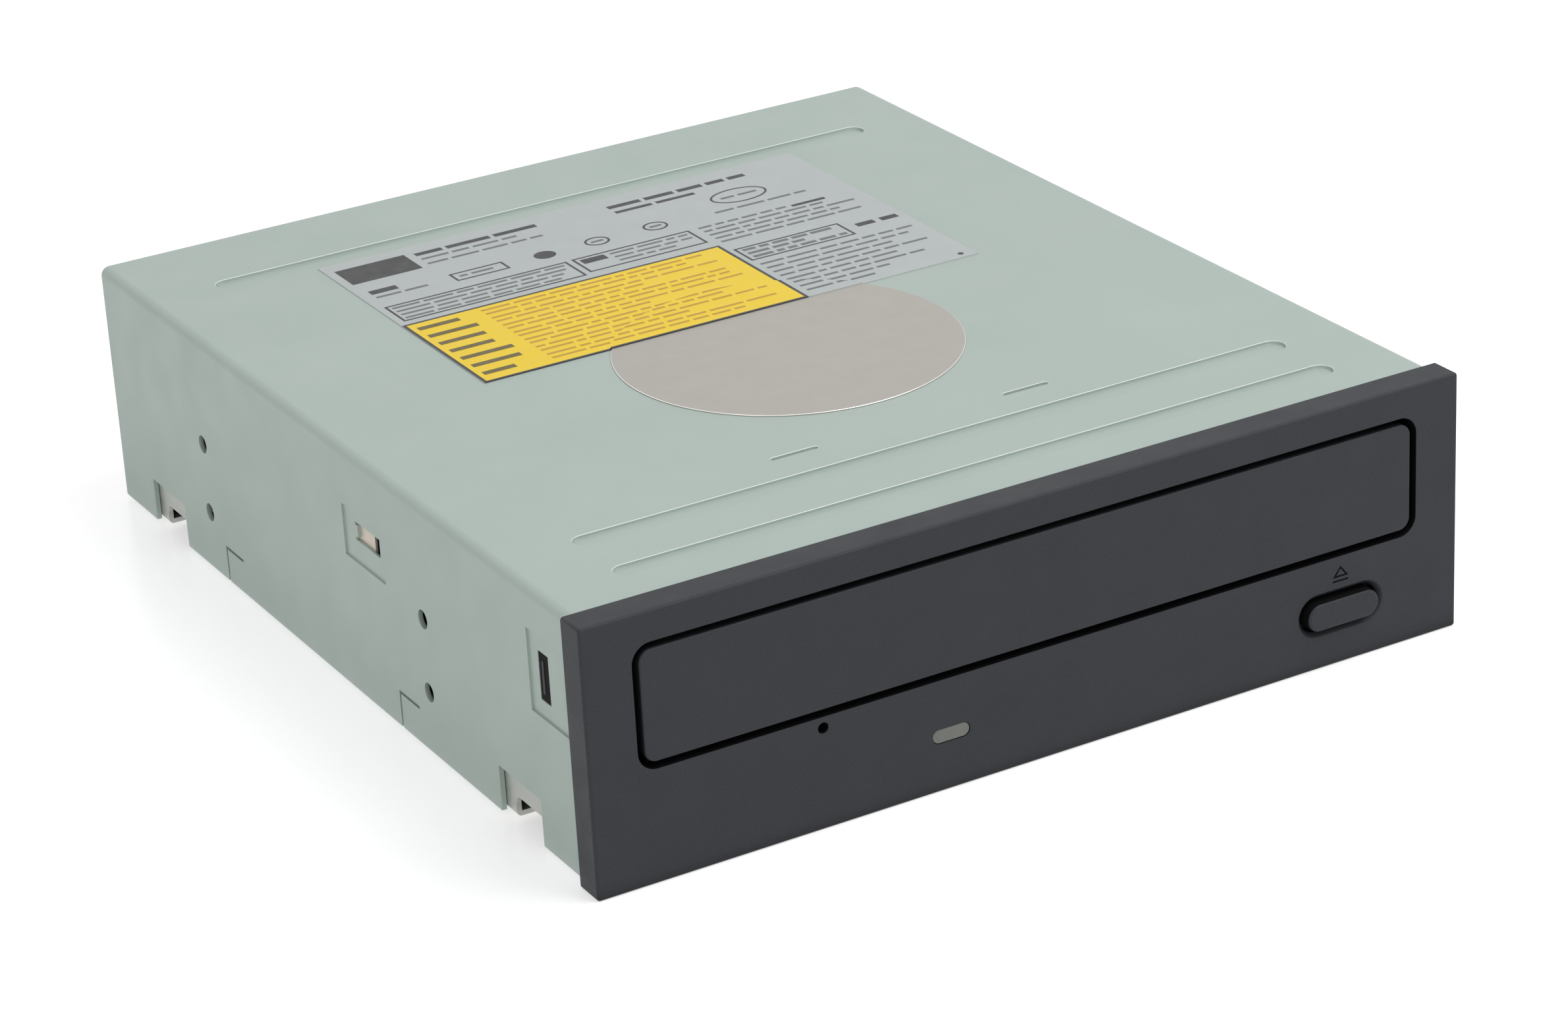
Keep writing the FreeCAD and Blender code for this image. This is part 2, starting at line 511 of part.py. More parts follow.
def cut_cover_side(body, side):
    """Bolt holes, catches, notches and lances of one side of the cover."""
    low, high = sorted((side * (SIDE + 1), side * (COVER_INSIDE - 1)), key=lambda size: size.value)
    holes = [circle(SEAT + of.mount_first + along * of.mount_pitch,
                    of.body_bottom + of.side_hole_low + rise * of.side_hole_rise, of.side_hole_radius)
             for along in (0, 1) for rise in (0, 1)]
    pocket(body, "YZ", low, high, *holes)
    catch = SEAT + of.catch_setback - of.catch_length / 2
    pocket(body, "YZ", low, high,
           rectangle(catch, catch + of.catch_length, of.catch_low, of.catch_low + of.catch_height))
    tab = SEAT + of.tab_setback - of.tab_length / 2
    pocket(body, "YZ", low, high,
           rectangle(tab, tab + of.tab_length, of.tab_low, of.tab_low + of.tab_height))
    for setback in (of.notch_front, of.notch_rear):
        pocket(body, "YZ", low, high, rectangle(SEAT + setback, SEAT + setback + of.notch_length,
                                                of.body_bottom - 1, of.body_bottom + of.notch_height))
    for setback in (of.lance_front, of.lance_rear):
        start = SEAT + setback
        end = start + of.lance_length
        top = of.body_bottom + of.lance_height
        pocket(body, "YZ", low, high, polygon(
            (start, top - of.slit_width), (end - of.slit_width, top - of.slit_width),
            (end - of.slit_width, of.body_bottom - 1), (end, of.body_bottom - 1), (end, top), (start, top)))
    # The catch for the bezel and the snap tab lie in shallow dished fields.
    near_dish, far_dish = sorted((side * (SIDE + 1), side * (SIDE - of.catch_dish)), key=lambda s: s.value)
    margin = of.catch_margin
    pocket(body, "YZ", near_dish, far_dish,
           rectangle(SEAT - 1, catch + of.catch_length + margin, of.catch_low - margin,
                     of.catch_low + of.catch_height + margin))
    margin = of.tab_margin
    pocket(body, "YZ", near_dish, far_dish,
           rectangle(tab - margin / 2, tab + of.tab_length + margin, of.tab_low - margin,
                     of.tab_low + of.tab_height + margin / 2))
    # Snap tab bent inwards from the rear edge of its window
    inner, outer = side * (COVER_INSIDE - of.tab_reach), side * (SIDE - of.catch_dish)
    low, high = sorted((inner, outer), key=lambda size: size.value)
    end, slit = tab + of.tab_length, of.slit_width
    pad(body, "YZ", low, high, rectangle(
        end - of.sheet_metal, end + slit, of.tab_low + slit, of.tab_low + of.tab_height - slit))


def build_pan():
    """Bottom pan with side flanges inside the cover and a rear wall cut out for the sockets."""
    body = new_body("bottom_pan")
    inset = of.sheet_gap
    rear = REAR - of.side_rear_inset
    top = of.body_bottom + of.pan_flange
    pad(body, "XY", of.body_bottom, of.body_bottom + of.pan_rear_height,
        rectangle(-FLANGE_OUTSIDE, FLANGE_OUTSIDE, SEAT + inset, rear))
    inside = FLANGE_OUTSIDE - of.sheet_metal
    pocket(body, "XZ", SEAT - 1, rear - of.sheet_metal,
           rectangle(-inside, inside, PAN_TOP, of.body_bottom + of.pan_rear_height + 1))
    pocket(body, "YZ", -FLANGE_OUTSIDE - 1, FLANGE_OUTSIDE + 1,
           rectangle(SEAT - 1, rear - of.sheet_metal, top, of.body_bottom + of.pan_rear_height + 1))
    dress(body, "Fillet", of.sheet_metal, lambda edge: edge_along(edge, 1)
          and near(edge.CenterOfMass.z, of.body_bottom) and near(abs(edge.CenterOfMass.x), FLANGE_OUTSIDE))
    for x, y in pan_screws():
        pad(body, "XY", PAN_TOP - of.sheet_metal / 2, PAN_TOP + of.dimple_depth,
            circle(x, y, of.dimple_radius + of.sheet_metal))
        pocket(body, "XY", of.body_bottom - 1, of.body_bottom + of.dimple_depth,
               circle(x, y, of.dimple_radius))
        pocket(body, "XY", of.body_bottom - 1, PAN_TOP + of.dimple_depth + 1,
               circle(x, y, of.pilot_radius + of.screw_gap))
    holes = [circle(side * of.bottom_hole_span / 2, SEAT + of.mount_first + along * of.mount_pitch,
                    of.bottom_hole_radius) for side in BOTH for along in (0, 1)]
    pocket(body, "XY", of.body_bottom - 1, PAN_TOP + 1, *holes)
    cutouts = [rectangle(middle - width / 2 - of.run_gap, middle + width / 2 + of.run_gap,
                         SOCKET_LOW - of.run_gap, SOCKET_LOW + height + of.run_gap)
               for middle, width, height in SOCKET_OUTLINES]
    pocket(body, "XZ", rear - of.sheet_metal - 1, rear + 1, *cutouts)
    for x, y in board_feet():
        pad(body, "XY", PAN_TOP - of.sheet_metal / 2, of.board_low, circle(x, y, of.foot_radius))
        pocket(body, "XY", of.body_bottom - 1, of.board_low - of.sheet_metal,
               circle(x, y, of.foot_radius - of.sheet_metal))
    # Long shallow ribs stiffen the pan.
    for side in BOTH:
        pocket(body, "XY", of.body_bottom - 1, of.body_bottom + of.pan_rib_depth,
               obround(side * of.rib_offset, SEAT + of.rib_setback, of.rib_length, of.rib_width))
        pad(body, "XY", PAN_TOP - of.sheet_metal / 4, PAN_TOP + of.pan_rib_depth,
            obround(side * of.rib_offset, SEAT + of.rib_setback, of.rib_length + of.sheet_metal,
                    of.rib_width + of.sheet_metal))
    # Arched openings in the lower corners, behind the notches of the cover
    for side in BOTH:
        low, high = sorted((side * (FLANGE_OUTSIDE + 1), side * (FLANGE_OUTSIDE - of.arch_depth)),
                           key=lambda size: size.value)
        for setback in (of.notch_front, of.notch_rear):
            start = SEAT + setback + of.arch_inset
            pocket(body, "YZ", low, high, rounded(
                start, start + of.arch_length, of.body_bottom - 2 * of.arch_round,
                of.body_bottom + of.arch_height, of.arch_round))
    return keep(body)


def board_feet():
    """Pressed feet of the pan that the two circuit boards rest on."""
    rear = REAR - of.side_rear_inset - of.foot_inset
    main = [(side * of.foot_span / 2, rear - along * of.foot_pitch) for side in BOTH for along in (0, 1)]
    front = [(of.front_board_x + side * (of.front_board_width / 2 - of.foot_inset / 2), SEAT + of.foot_inset)
             for side in BOTH]
    return main + front


def pan_screws():
    return [(side * of.pan_screw_span / 2, SEAT + setback)
            for side in BOTH for setback in (of.pan_screw_front, of.pan_screw_rear)]


SOCKET_LOW = of.board_low + of.board_thick
SOCKET_OUTLINES = [(of.ide_x, of.ide_width, of.ide_height), (of.power_x, of.power_width, of.power_height),
                   (of.jumper_x, of.pin_pitch * of.jumper_columns + of.header_edge,
                    of.pin_pitch * of.pin_rows + of.header_edge),
                   (of.audio_x, of.audio_width, of.ide_height - of.audio_drop)]


def build_bezel():
    """Moulded front: a plate with a rim behind it, side hooks and four openings."""
    body = new_body("front_bezel")
    half = of.bezel_width / 2
    pad(body, "XZ", FRONT, SEAT, rectangle(-half, half, 0, of.bezel_height))
    pocket(body, "XZ", FRONT + of.bezel_wall, SEAT + 1,
           rectangle(-half + of.bezel_rim, half - of.bezel_rim, of.bezel_rim, of.bezel_height - of.bezel_rim))
    dress(body, "Fillet", of.bezel_edge_round, lambda edge: near(edge.CenterOfMass.y, FRONT)
          or (edge_along(edge, 1) and near(abs(edge.CenterOfMass.x), half)))
    gap = of.door_gap
    left = of.door_width / 2 + gap
    pocket(body, "XZ", FRONT - 1, SEAT, rounded(
        -left, left, of.door_low - gap, of.door_low + of.door_height + gap, of.door_round + gap))
    pocket(body, "XZ", FRONT - 1, FRONT + of.bezel_wall + 1,
           obround(of.lamp_x, of.lamp_z, of.lamp_length, of.lamp_width),
           circle(of.needle_x, of.needle_z, of.needle_radius),
           obround(of.button_x, of.button_z, of.button_length + 2 * of.button_gap,
                   of.button_width + 2 * of.button_gap))
    dress(body, "Chamfer", of.button_bevel, lambda edge: near(edge.CenterOfMass.y, FRONT)
          and abs(edge.CenterOfMass.x - of.button_x.value) < of.button_length.value
          and edge.CenterOfMass.z < of.door_low.value - 2)
    engrave_eject_mark(body)
    reach = SEAT + of.catch_setback + of.catch_length / 2 - of.run_gap
    for side in BOTH:
        low, high = sorted((side * (COVER_INSIDE - of.run_gap), side * (COVER_INSIDE - of.hook_thick)),
                           key=lambda size: size.value)
        bottom = of.catch_low + of.run_gap
        top = of.catch_low + of.catch_height - of.run_gap
        pad(body, "YZ", low, high, rectangle(FRONT + of.bezel_wall - of.hook_root, reach, bottom, top))
        inner, start = COVER_INSIDE - of.sheet_metal, reach - of.catch_length + 2 * of.run_gap
        pad(body, "XY", bottom, top, polygon(
            (side * inner, start), (side * inner, reach),
            (side * (SIDE - of.catch_dish - of.sheet_gap), reach),
            (side * (COVER_INSIDE - of.run_gap), start)))
    return keep(body)


def engrave_eject_mark(body):
    """Outlined triangle over a bar, the usual eject sign."""
    foot = of.button_z + of.mark_rise
    half, line, centre = of.mark_size / 2, of.mark_groove, of.button_x
    low = foot + line * 3
    tip = low + of.mark_tall
    pocket(body, "XZ", FRONT - 1, FRONT + of.mark_sink,
           rectangle(centre - half, centre + half, foot, foot + line),
           polygon((centre - half, low), (centre + half, low), (centre, tip)),
           polygon((centre - half + line * 2.2, low + line), (centre + half - line * 2.2, low + line),
                   (centre, tip - line * 1.5)))


def build_door():
    """Front panel of the tray."""
    body = new_body("tray_door")
    half = of.door_width / 2
    pad(body, "XZ", FRONT, FRONT + of.door_thick,
        rounded(-half, half, of.door_low, of.door_low + of.door_height, of.door_round))
    dress(body, "Fillet", of.door_edge_round, lambda edge: near(edge.CenterOfMass.y, FRONT))
    return keep(body)


def build_button():
    """Eject button: a pill-shaped cap on a stem that reaches the switch."""
    body = new_body("eject_button")
    pad(body, "XZ", FRONT - of.button_proud, FRONT + of.bezel_wall,
        obround(of.button_x, of.button_z, of.button_length, of.button_width))
    dress(body, "Fillet", of.button_edge, lambda edge: near(edge.CenterOfMass.y, FRONT - of.button_proud))
    back = FRONT + of.bezel_wall
    rim = 2 * of.stop_flange
    pad(body, "XZ", back, back + of.stop_thick,
        obround(of.button_x, of.button_z, of.button_length + rim, of.button_width + rim))
    half, rise = of.stem_width / 2, of.stem_height / 2
    pad(body, "XZ", back, SWITCH_TIP - of.stem_gap, rectangle(
        of.button_x - half, of.button_x + half, of.button_z - rise, of.button_z + rise))
    return keep(body)


def build_lamp_pipe():
    """Clear pipe that leads the lamp's light to the face."""
    body = new_body("lamp_pipe")
    gap = 2 * of.lamp_gap
    pad(body, "XZ", FRONT + 0.1, LAMP_FRONT - of.run_gap,
        obround(of.lamp_x, of.lamp_z, of.lamp_length - gap, of.lamp_width - gap))
    pad(body, "XZ", FRONT + of.bezel_wall, FRONT + of.bezel_wall + of.stop_thick,
        obround(of.lamp_x, of.lamp_z, of.lamp_length + of.stop_flange, of.lamp_width + of.stop_flange))
    return keep(body)


def build_foil():
    """Round metal seal over the hole above the clamp."""
    seal = rod("Z", of.cover_top, of.cover_top + of.foil_thick, 0, SPINDLE, of.foil_radius)
    return keep(seal, "round_foil")


def build_sticker():
    """Paper label that lies partly on the foil."""
    front = SEAT + of.sticker_setback
    rear = front + of.sticker_depth
    left = -of.sticker_width / 2
    flat = block(left, -left, front, rear, of.cover_top, of.cover_top + of.sticker_thick)
    step = doc.addObject("Part::Common", "Step")
    step.Base = block(left, -left, front, rear, of.cover_top, of.cover_top + 2)
    step.Tool = rod("Z", of.cover_top, of.cover_top + of.foil_thick + of.sticker_thick, 0, SPINDLE,
                    of.foil_radius + of.sticker_thick)
    hollow = rod("Z", of.cover_top - 1, of.cover_top + of.foil_thick, 0, SPINDLE,
                 of.foil_radius + of.press_gap)
    return keep(cut(fuse(flat, step), hollow), "top_sticker")


def build_pan_screws():
    """Four flat-headed screws that hold the pan to the frame."""
    screws = []
    top = of.body_bottom + of.dimple_depth
    for x, y in pan_screws():
        head = rod("Z", top - of.screw_head_thick, top, x, y, of.dimple_radius - of.screw_head_inset)
        reach, slot = of.driver_reach, of.driver_slot / 2
        low, high = top - of.screw_head_thick - 1, top - of.screw_head_thick + of.driver_depth
        cross = fuse(block(x - reach, x + reach, y - slot, y + slot, low, high),
                     block(x - slot, x + slot, y - reach, y + reach, low, high))
        shank = rod("Z", top - of.driver_depth / 2, top + of.pan_screw_length, x, y,
                    of.pilot_radius - of.bore_gap)
        screws.append(cut(fuse(head, shank), cross))
    return keep(group(*screws), "pan_screws")

SWITCH_FRONT = SEAT + of.switch_setback + of.switch_stem
SWITCH_TIP = SEAT + of.switch_setback
LAMP_FRONT = SEAT + of.lamp_setback


# Loading drive: places of the gear axes, worked out from the tooth counts
MOTOR_BASE = of.board_low + of.board_thick
DECK_TOP = of.deck_low + of.deck_thick
TRAY_GEAR = (of.rack_line + of.rack_module * of.tray_gear_teeth / 2 + of.mesh_gap,
             SEAT + of.tray_gear_setback)
PULLEY_Y = SEAT + of.pulley_setback


def meshed_x(first, spacing, other_y):
    """Place of a gear axis at a given spacing from the first one, on the line y = other_y."""
    rise = other_y - first[1]
    return first[0] + square_root(spacing * spacing - rise * rise)


IDLER_Y = SEAT + of.idler_setback
IDLER = (meshed_x(TRAY_GEAR, (of.lower_gear_teeth + of.pinion_teeth) * of.train_module / 2 + of.mesh_gap,
                  IDLER_Y), IDLER_Y)
PULLEY = (meshed_x(IDLER, (of.idler_teeth + of.pinion_teeth) * of.train_module / 2 + of.mesh_gap,
                   PULLEY_Y), PULLEY_Y)
MOTOR = (PULLEY[0] + of.belt_span, PULLEY_Y)

# The cam slider and the traverse behind it
CROSS = SEAT + of.deck_depth
CAM_FRONT = CROSS + of.cross_wall + of.cam_gap
CAM_REAR = CAM_FRONT + of.cam_thick
CAM_TOP = of.cam_low + of.cam_height
HOLDER_FRONT = CAM_REAR + 2 * of.cam_gap
PIVOT = SPINDLE + of.pivot_setback
PIN_DROP = (PIVOT - (CAM_FRONT + CAM_REAR) / 2) * sine(of.tilt_drop)
PAN_REAR_INSIDE = REAR - of.side_rear_inset - of.sheet_metal
FRAME_SIDE = of.frame_inside + of.frame_wall
BOARD_REAR = PAN_REAR_INSIDE - of.run_gap
UNDER_RACK = of.pulley_low - of.holddown_gap


def build_frame():
    """Moulded frame: side walls with rails for the tray, a deck for the gears and the cam's wall."""
    body = new_body("loader_frame")
    front, rear = SEAT + of.run_gap, PAN_REAR_INSIDE - of.run_gap
    inside, outside = of.frame_inside, FRAME_SIDE
    begin = front + of.frame_front_gap
    pad(body, "XY", of.deck_low, DECK_TOP, rectangle(-outside, outside, begin, CROSS + of.cross_wall / 2))
    pad(body, "XZ", CROSS, CROSS + of.cross_wall, rectangle(-outside, outside, PAN_TOP, of.cross_wall_top))
    for side in BOTH:
        low, high = sorted((side * inside, side * outside), key=lambda size: size.value)
        pad(body, "YZ", low, high, rectangle(begin, rear, PAN_TOP, of.frame_top))
        low, high = sorted((side * (inside - of.rail_width), side * (inside + 1)),
                           key=lambda size: size.value)
        rail_top = of.tray_low - of.run_gap
        pad(body, "YZ", low, high, rectangle(begin, rear, rail_top - of.rail_thick, rail_top))
        over = TRAY_TOP + of.holddown_gap
        for along in (of.holddown_front, of.holddown_middle, of.holddown_rear):
            middle = SEAT + along
            pad(body, "YZ", low, high, rectangle(
                middle - of.holddown_length / 2, middle + of.holddown_length / 2,
                over, over + of.holddown_thick))
        # Bearing block for the traverse, carried by the side wall
        block_low, block_high = sorted((side * (of.holder_width / 2 + of.run_gap), side * (inside + 1)),
                                       key=lambda size: size.value)
        pad(body, "YZ", block_low, block_high,
            rectangle(PIVOT - of.bearing_reach, PIVOT + of.bearing_reach,
                      of.pivot_z - of.bearing_reach, UNDER_RACK))
    pad(body, "XZ", CROSS, CAM_REAR, rectangle(-outside, outside, PAN_TOP, of.cam_low - of.cam_gap))
    hook_low = CAM_TOP + of.cam_gap
    hook_top = hook_low + of.hook_height
    for x in (-of.hook_span, as_size(0), of.hook_span):
        left, right = x - of.hook_width / 2, x + of.hook_width / 2
        pad(body, "XZ", CROSS, CAM_REAR, rectangle(left, right, hook_low, hook_top))
        pad(body, "XZ", CROSS, CROSS + of.cross_wall,
            rectangle(left, right, of.cross_wall_top - of.hook_height, hook_top))
    for x, y in pan_screws():
        pad(body, "XY", PAN_TOP + of.dimple_depth, UNDER_RACK, circle(x, y, of.screw_boss_radius))
        pocket(body, "XY", PAN_TOP - 1, PAN_TOP + of.pilot_depth, circle(x, y, of.pilot_radius))
    pocket(body, "XY", PAN_TOP - 1, PAN_TOP + of.dimple_depth,
           *[circle(x, y, of.dimple_radius + of.sheet_metal + of.run_gap) for x, y in pan_screws()])
    posts = [(TRAY_GEAR, of.pulley_low + of.pulley_thick), (IDLER, of.pulley_low - of.run_gap),
             (PULLEY, of.pulley_low + of.pulley_thick)]
    for (x, y), top in posts:
        pad(body, "XY", of.deck_low, top, circle(x, y, of.post_radius))
    pocket(body, "XY", of.deck_low - 1, DECK_TOP + 1,
           circle(MOTOR[0], MOTOR[1], of.motor_radius + of.run_gap))
    pocket(body, "XY", of.deck_low - 1, DECK_TOP + 1,
           rectangle(of.button_x - of.button_slot / 2, of.button_x + of.button_slot / 2,
                     SEAT - 1, SEAT + of.button_slot))
    pocket(body, "YZ", -outside - 1, outside + 1,
           circle(PIVOT, of.pivot_z, of.pivot_radius + of.bore_gap))
    # Rear beam ties the two sides together under the tray.
    beam = PIVOT + of.beam_setback
    pad(body, "XZ", beam, beam + of.beam_thick,
        rectangle(-inside - 1, inside + 1, of.pivot_z - of.bearing_reach / 4, UNDER_RACK))
    # Low passage for the ribbon between the two boards
    half = of.ribbon_width / 2 + of.run_gap
    pocket(body, "XZ", CROSS - 1, CAM_REAR + 1, rectangle(
        of.ribbon_x - half, of.ribbon_x + half, PAN_TOP - 1, PAN_TOP + of.ribbon_thick + of.run_gap))
    return keep(body)


def build_tray():
    """Moulded disc tray with recesses for both disc sizes, a slot for the pickup and a rack below."""
    body = new_body("disc_tray")
    half = of.tray_width / 2
    front, rear = FRONT + of.door_thick, SEAT + of.tray_rear
    pad(body, "XY", of.tray_low, TRAY_TOP, rectangle(-half, half, front + 1, rear))
    pad(body, "XZ", front, front + of.tray_lip_thick,
        rectangle(-half + of.lip_inset, half - of.lip_inset, of.tray_low - of.lip_drop,
                  of.tray_low + of.tray_lip_height))
    pocket(body, "XY", DISC_FLOOR, TRAY_TOP + 1, circle(0, SPINDLE, of.disc_recess_radius))
    pocket(body, "XY", DISC_FLOOR - of.small_recess_depth, TRAY_TOP,
           circle(0, SPINDLE, of.small_recess_radius))
    slot = of.tray_slot_radius
    pocket(body, "XY", of.tray_low - 1, TRAY_TOP + 1, circle(0, SPINDLE, slot))
    pocket(body, "XY", of.tray_low - 1, TRAY_TOP + 1, rectangle(-slot, slot, SPINDLE, rear + 1))
    inner = half - of.tray_rim
    beyond = SPINDLE + of.back_pocket_setback
    for side in BOTH:
        low, high = sorted((side * (slot + 2), side * inner), key=lambda size: size.value)
        pocket(body, "XY", DISC_FLOOR + of.back_pocket_step, TRAY_TOP + 1,
               rectangle(low, high, beyond, rear - of.tray_lip_thick))
        # Finger scallop beside each front corner of the disc
        pocket(body, "XY", DISC_FLOOR, TRAY_TOP + 1,
               circle(side * (inner - of.scallop_inset),
                      SPINDLE - of.disc_recess_radius + of.scallop_setback, of.scallop_radius))
    dress(body, "Chamfer", of.recess_lead_in, lambda edge: near(edge.CenterOfMass.z, TRAY_TOP)
          and isinstance(edge.Curve, Part.Circle) and near(edge.Curve.Radius, of.disc_recess_radius))
    add_rack(body, rear)
    return keep(body)


def tooth_slope(teeth):
    """Lean of a straight tooth flank against the tooth's middle line at a 20 degree mesh."""
    return math.tan(math.radians(20) - (math.pi / 2 / teeth if teeth else 0))


def tooth_widths(module, teeth):
    """Half widths of a tooth at its root and at its tip."""
    at_pitch = module * math.pi / 4 - of.tooth_slack
    slope = tooth_slope(teeth)
    return at_pitch + module * (1.2 * slope), at_pitch - module * slope


def add_rack(body, rear):
    """Rack under the left side of the tray, in mesh with the tray gear."""
    module = of.rack_module
    root, tip = of.rack_line - module * 1.2, of.rack_line + module
    low, high = of.pulley_low, of.tray_low + of.rack_foot / 4
    pitch = module * math.pi
    pad(body, "XY", low, high, rectangle(root - of.rack_foot, root, TRAY_GEAR[1] - pitch * 2, rear))
    at_root, at_tip = tooth_widths(module, 0)
    first = TRAY_GEAR[1] - pitch * 1.5
    tooth = pad(body, "XY", low, high, polygon(
        (root - 0.4, first - at_root), (root, first - at_root), (tip, first - at_tip),
        (tip, first + at_tip), (root, first + at_root), (root - 0.4, first + at_root)))
    doc.recompute()
    count = int((rear - first).value // pitch.value) + 1
    row = body.newObject("PartDesign::LinearPattern", "Teeth")
    row.Originals = [tooth]
    row.Direction = (origin_part(body, "Y_Axis"), [""])
    row.Occurrences = count
    bind(row, "Length", pitch * (count - 1))
    body.Tip = row


def add_teeth(body, teeth, module, low, high, turn=0.0):
    """Toothed disc around the body's own upright axis, with one tooth at the given direction."""
    root, tip = module * (teeth / 2 - 1.2), module * (teeth / 2 + 1)
    pad(body, "XY", low, high, circle(0, 0, root))
    at_root, at_tip = tooth_widths(module, teeth.value)
    outline = [(root - 0.5, -at_root), (root, -at_root), (tip, -at_tip),
               (tip, at_tip), (root, at_root), (root - 0.5, at_root)]
    along, across = math.cos(math.radians(turn)), math.sin(math.radians(turn))
    tooth = pad(body, "XY", low, high,
                polygon(*[(x * along - y * across, x * across + y * along) for x, y in outline]))
    doc.recompute()
    ring = body.newObject("PartDesign::PolarPattern", "Teeth")
    ring.Originals = [tooth]
    ring.Axis = (origin_part(body, "Z_Axis"), [""])
    ring.Angle = 360
    bind(ring, "Occurrences", teeth)
    body.Tip = ring


def place(body, centre):
    bind(body, "Placement.Base.x", centre[0])
    bind(body, "Placement.Base.y", centre[1])


def facing(own, other, teeth=None):
    """Direction, in degrees, of a tooth that points at another axis, or of one beside a gap that does."""
    direction = math.degrees(math.atan2(other[1].value - own[1].value, other[0].value - own[0].value))
    return direction + (180 / teeth.value if teeth else 0)


def build_gears():
    """Moulded double gears on the deck's posts, from the tray's rack back to the belt wheel."""
    top = of.pulley_low + of.pulley_thick
    bore = of.post_radius + of.bore_gap
    hub_low = DECK_TOP + of.hub_gap
    idler_top = of.pulley_low - of.idler_top_gap
    wheel_low = DECK_TOP + of.big_ring_low
    wheel_high = wheel_low + of.big_ring_thick
    step = of.ring_gap

    tray_gear = new_body("tray_gear")
    pad(tray_gear, "XY", hub_low, top, circle(0, 0, of.gear_hub_radius))
    add_teeth(tray_gear, of.lower_gear_teeth, of.train_module, wheel_high + step, of.pulley_low - step,
              facing(TRAY_GEAR, IDLER))
    add_teeth(tray_gear, of.tray_gear_teeth, of.rack_module, of.pulley_low - step, top, 180)

    idler = new_body("idler_gear")
    pad(idler, "XY", hub_low, idler_top, circle(0, 0, of.gear_hub_radius))
    add_teeth(idler, of.idler_teeth, of.train_module, wheel_low, wheel_high, facing(IDLER, PULLEY))
    add_teeth(idler, of.pinion_teeth, of.train_module, wheel_high, idler_top,
              facing(IDLER, TRAY_GEAR, of.pinion_teeth))

    wheel = new_body("belt_wheel")
    pad(wheel, "XY", hub_low, of.pulley_low + step, circle(0, 0, of.gear_hub_radius))
    add_teeth(wheel, of.pinion_teeth, of.train_module, DECK_TOP + step, of.pulley_low,
              facing(PULLEY, IDLER, of.pinion_teeth))
    pad(wheel, "XY", of.pulley_low, top, circle(0, 0, of.pulley_radius))
    cut_belt_groove(wheel, of.pulley_radius)

    for body, centre in ((tray_gear, TRAY_GEAR), (idler, IDLER), (wheel, PULLEY)):
        pocket(body, "XY", hub_low - 1, top + 1, circle(0, 0, bore))
        place(body, centre)
        keep(body)


BELT_MIDDLE = of.pulley_low + of.pulley_thick / 2


def cut_belt_groove(body, radius):
    half = of.belt_side / 2 + of.groove_gap
    inner, outer = radius - of.groove_depth, radius + 1
    revolve(body, "Groove", [(inner, BELT_MIDDLE - half), (outer, BELT_MIDDLE - half),
                             (outer, BELT_MIDDLE + half), (inner, BELT_MIDDLE + half)], 0, 0)


def build_motor():
    """Loading motor, its pulley and the belt."""
    x, y = MOTOR
    top = MOTOR_BASE + of.motor_height
    can = rod("Z", MOTOR_BASE, top, x, y, of.motor_radius)
    collar = rod("Z", top - of.motor_flat, of.pulley_low - of.collar_gap, x, y,
                 of.motor_pulley_radius - of.collar_inset)
    edge = y + of.motor_radius
    flat = block(x - of.motor_radius, x + of.motor_radius, edge - of.motor_flat, edge + 1, MOTOR_BASE, top)
    keep(cut(fuse(can, collar), flat), "loading_motor")
    pulley = new_body("motor_pulley")
    high = of.pulley_low + of.pulley_thick
    pad(pulley, "XY", of.pulley_low, high, circle(0, 0, of.motor_pulley_radius))
    cut_belt_groove(pulley, of.motor_pulley_radius)
    place(pulley, MOTOR)
    keep(pulley)
    keep(build_belt(), "drive_belt")


def belt_loop(wheel, small):
    """Closed loop of two arcs and two straight runs round two radii."""
    span = of.belt_span.value
    lean = math.acos((wheel - small) / span)
    points = []
    for centre, radius in ((0.0, wheel), (span, small)):
        for sign in (1, -1):
            points.append(FreeCAD.Vector(centre + radius * math.cos(lean),
                                         sign * radius * math.sin(lean), 0))
    upper, lower, upper_small, lower_small = points
    around = Part.Arc(upper, FreeCAD.Vector(-wheel, 0, 0), lower).toShape()
    end = Part.Arc(lower_small, FreeCAD.Vector(span + small, 0, 0), upper_small).toShape()
    return Part.Wire([around, Part.makeLine(lower, lower_small), end, Part.makeLine(upper_small, upper)])


def build_belt():
    wheel = (of.pulley_radius - of.groove_depth + of.belt_gap).value
    small = (of.motor_pulley_radius - of.groove_depth + of.belt_gap).value
    side = of.belt_side.value
    face = Part.Face(belt_loop(wheel + side, small + side)).cut(Part.Face(belt_loop(wheel, small)))
    belt = doc.addObject("Part::Feature", "drive_belt")
    belt.Shape = face.extrude(FreeCAD.Vector(0, 0, side))
    belt.Placement = FreeCAD.Placement(
        FreeCAD.Vector(PULLEY[0].value, PULLEY[1].value, BELT_MIDDLE.value - side / 2), FreeCAD.Rotation())
    return belt


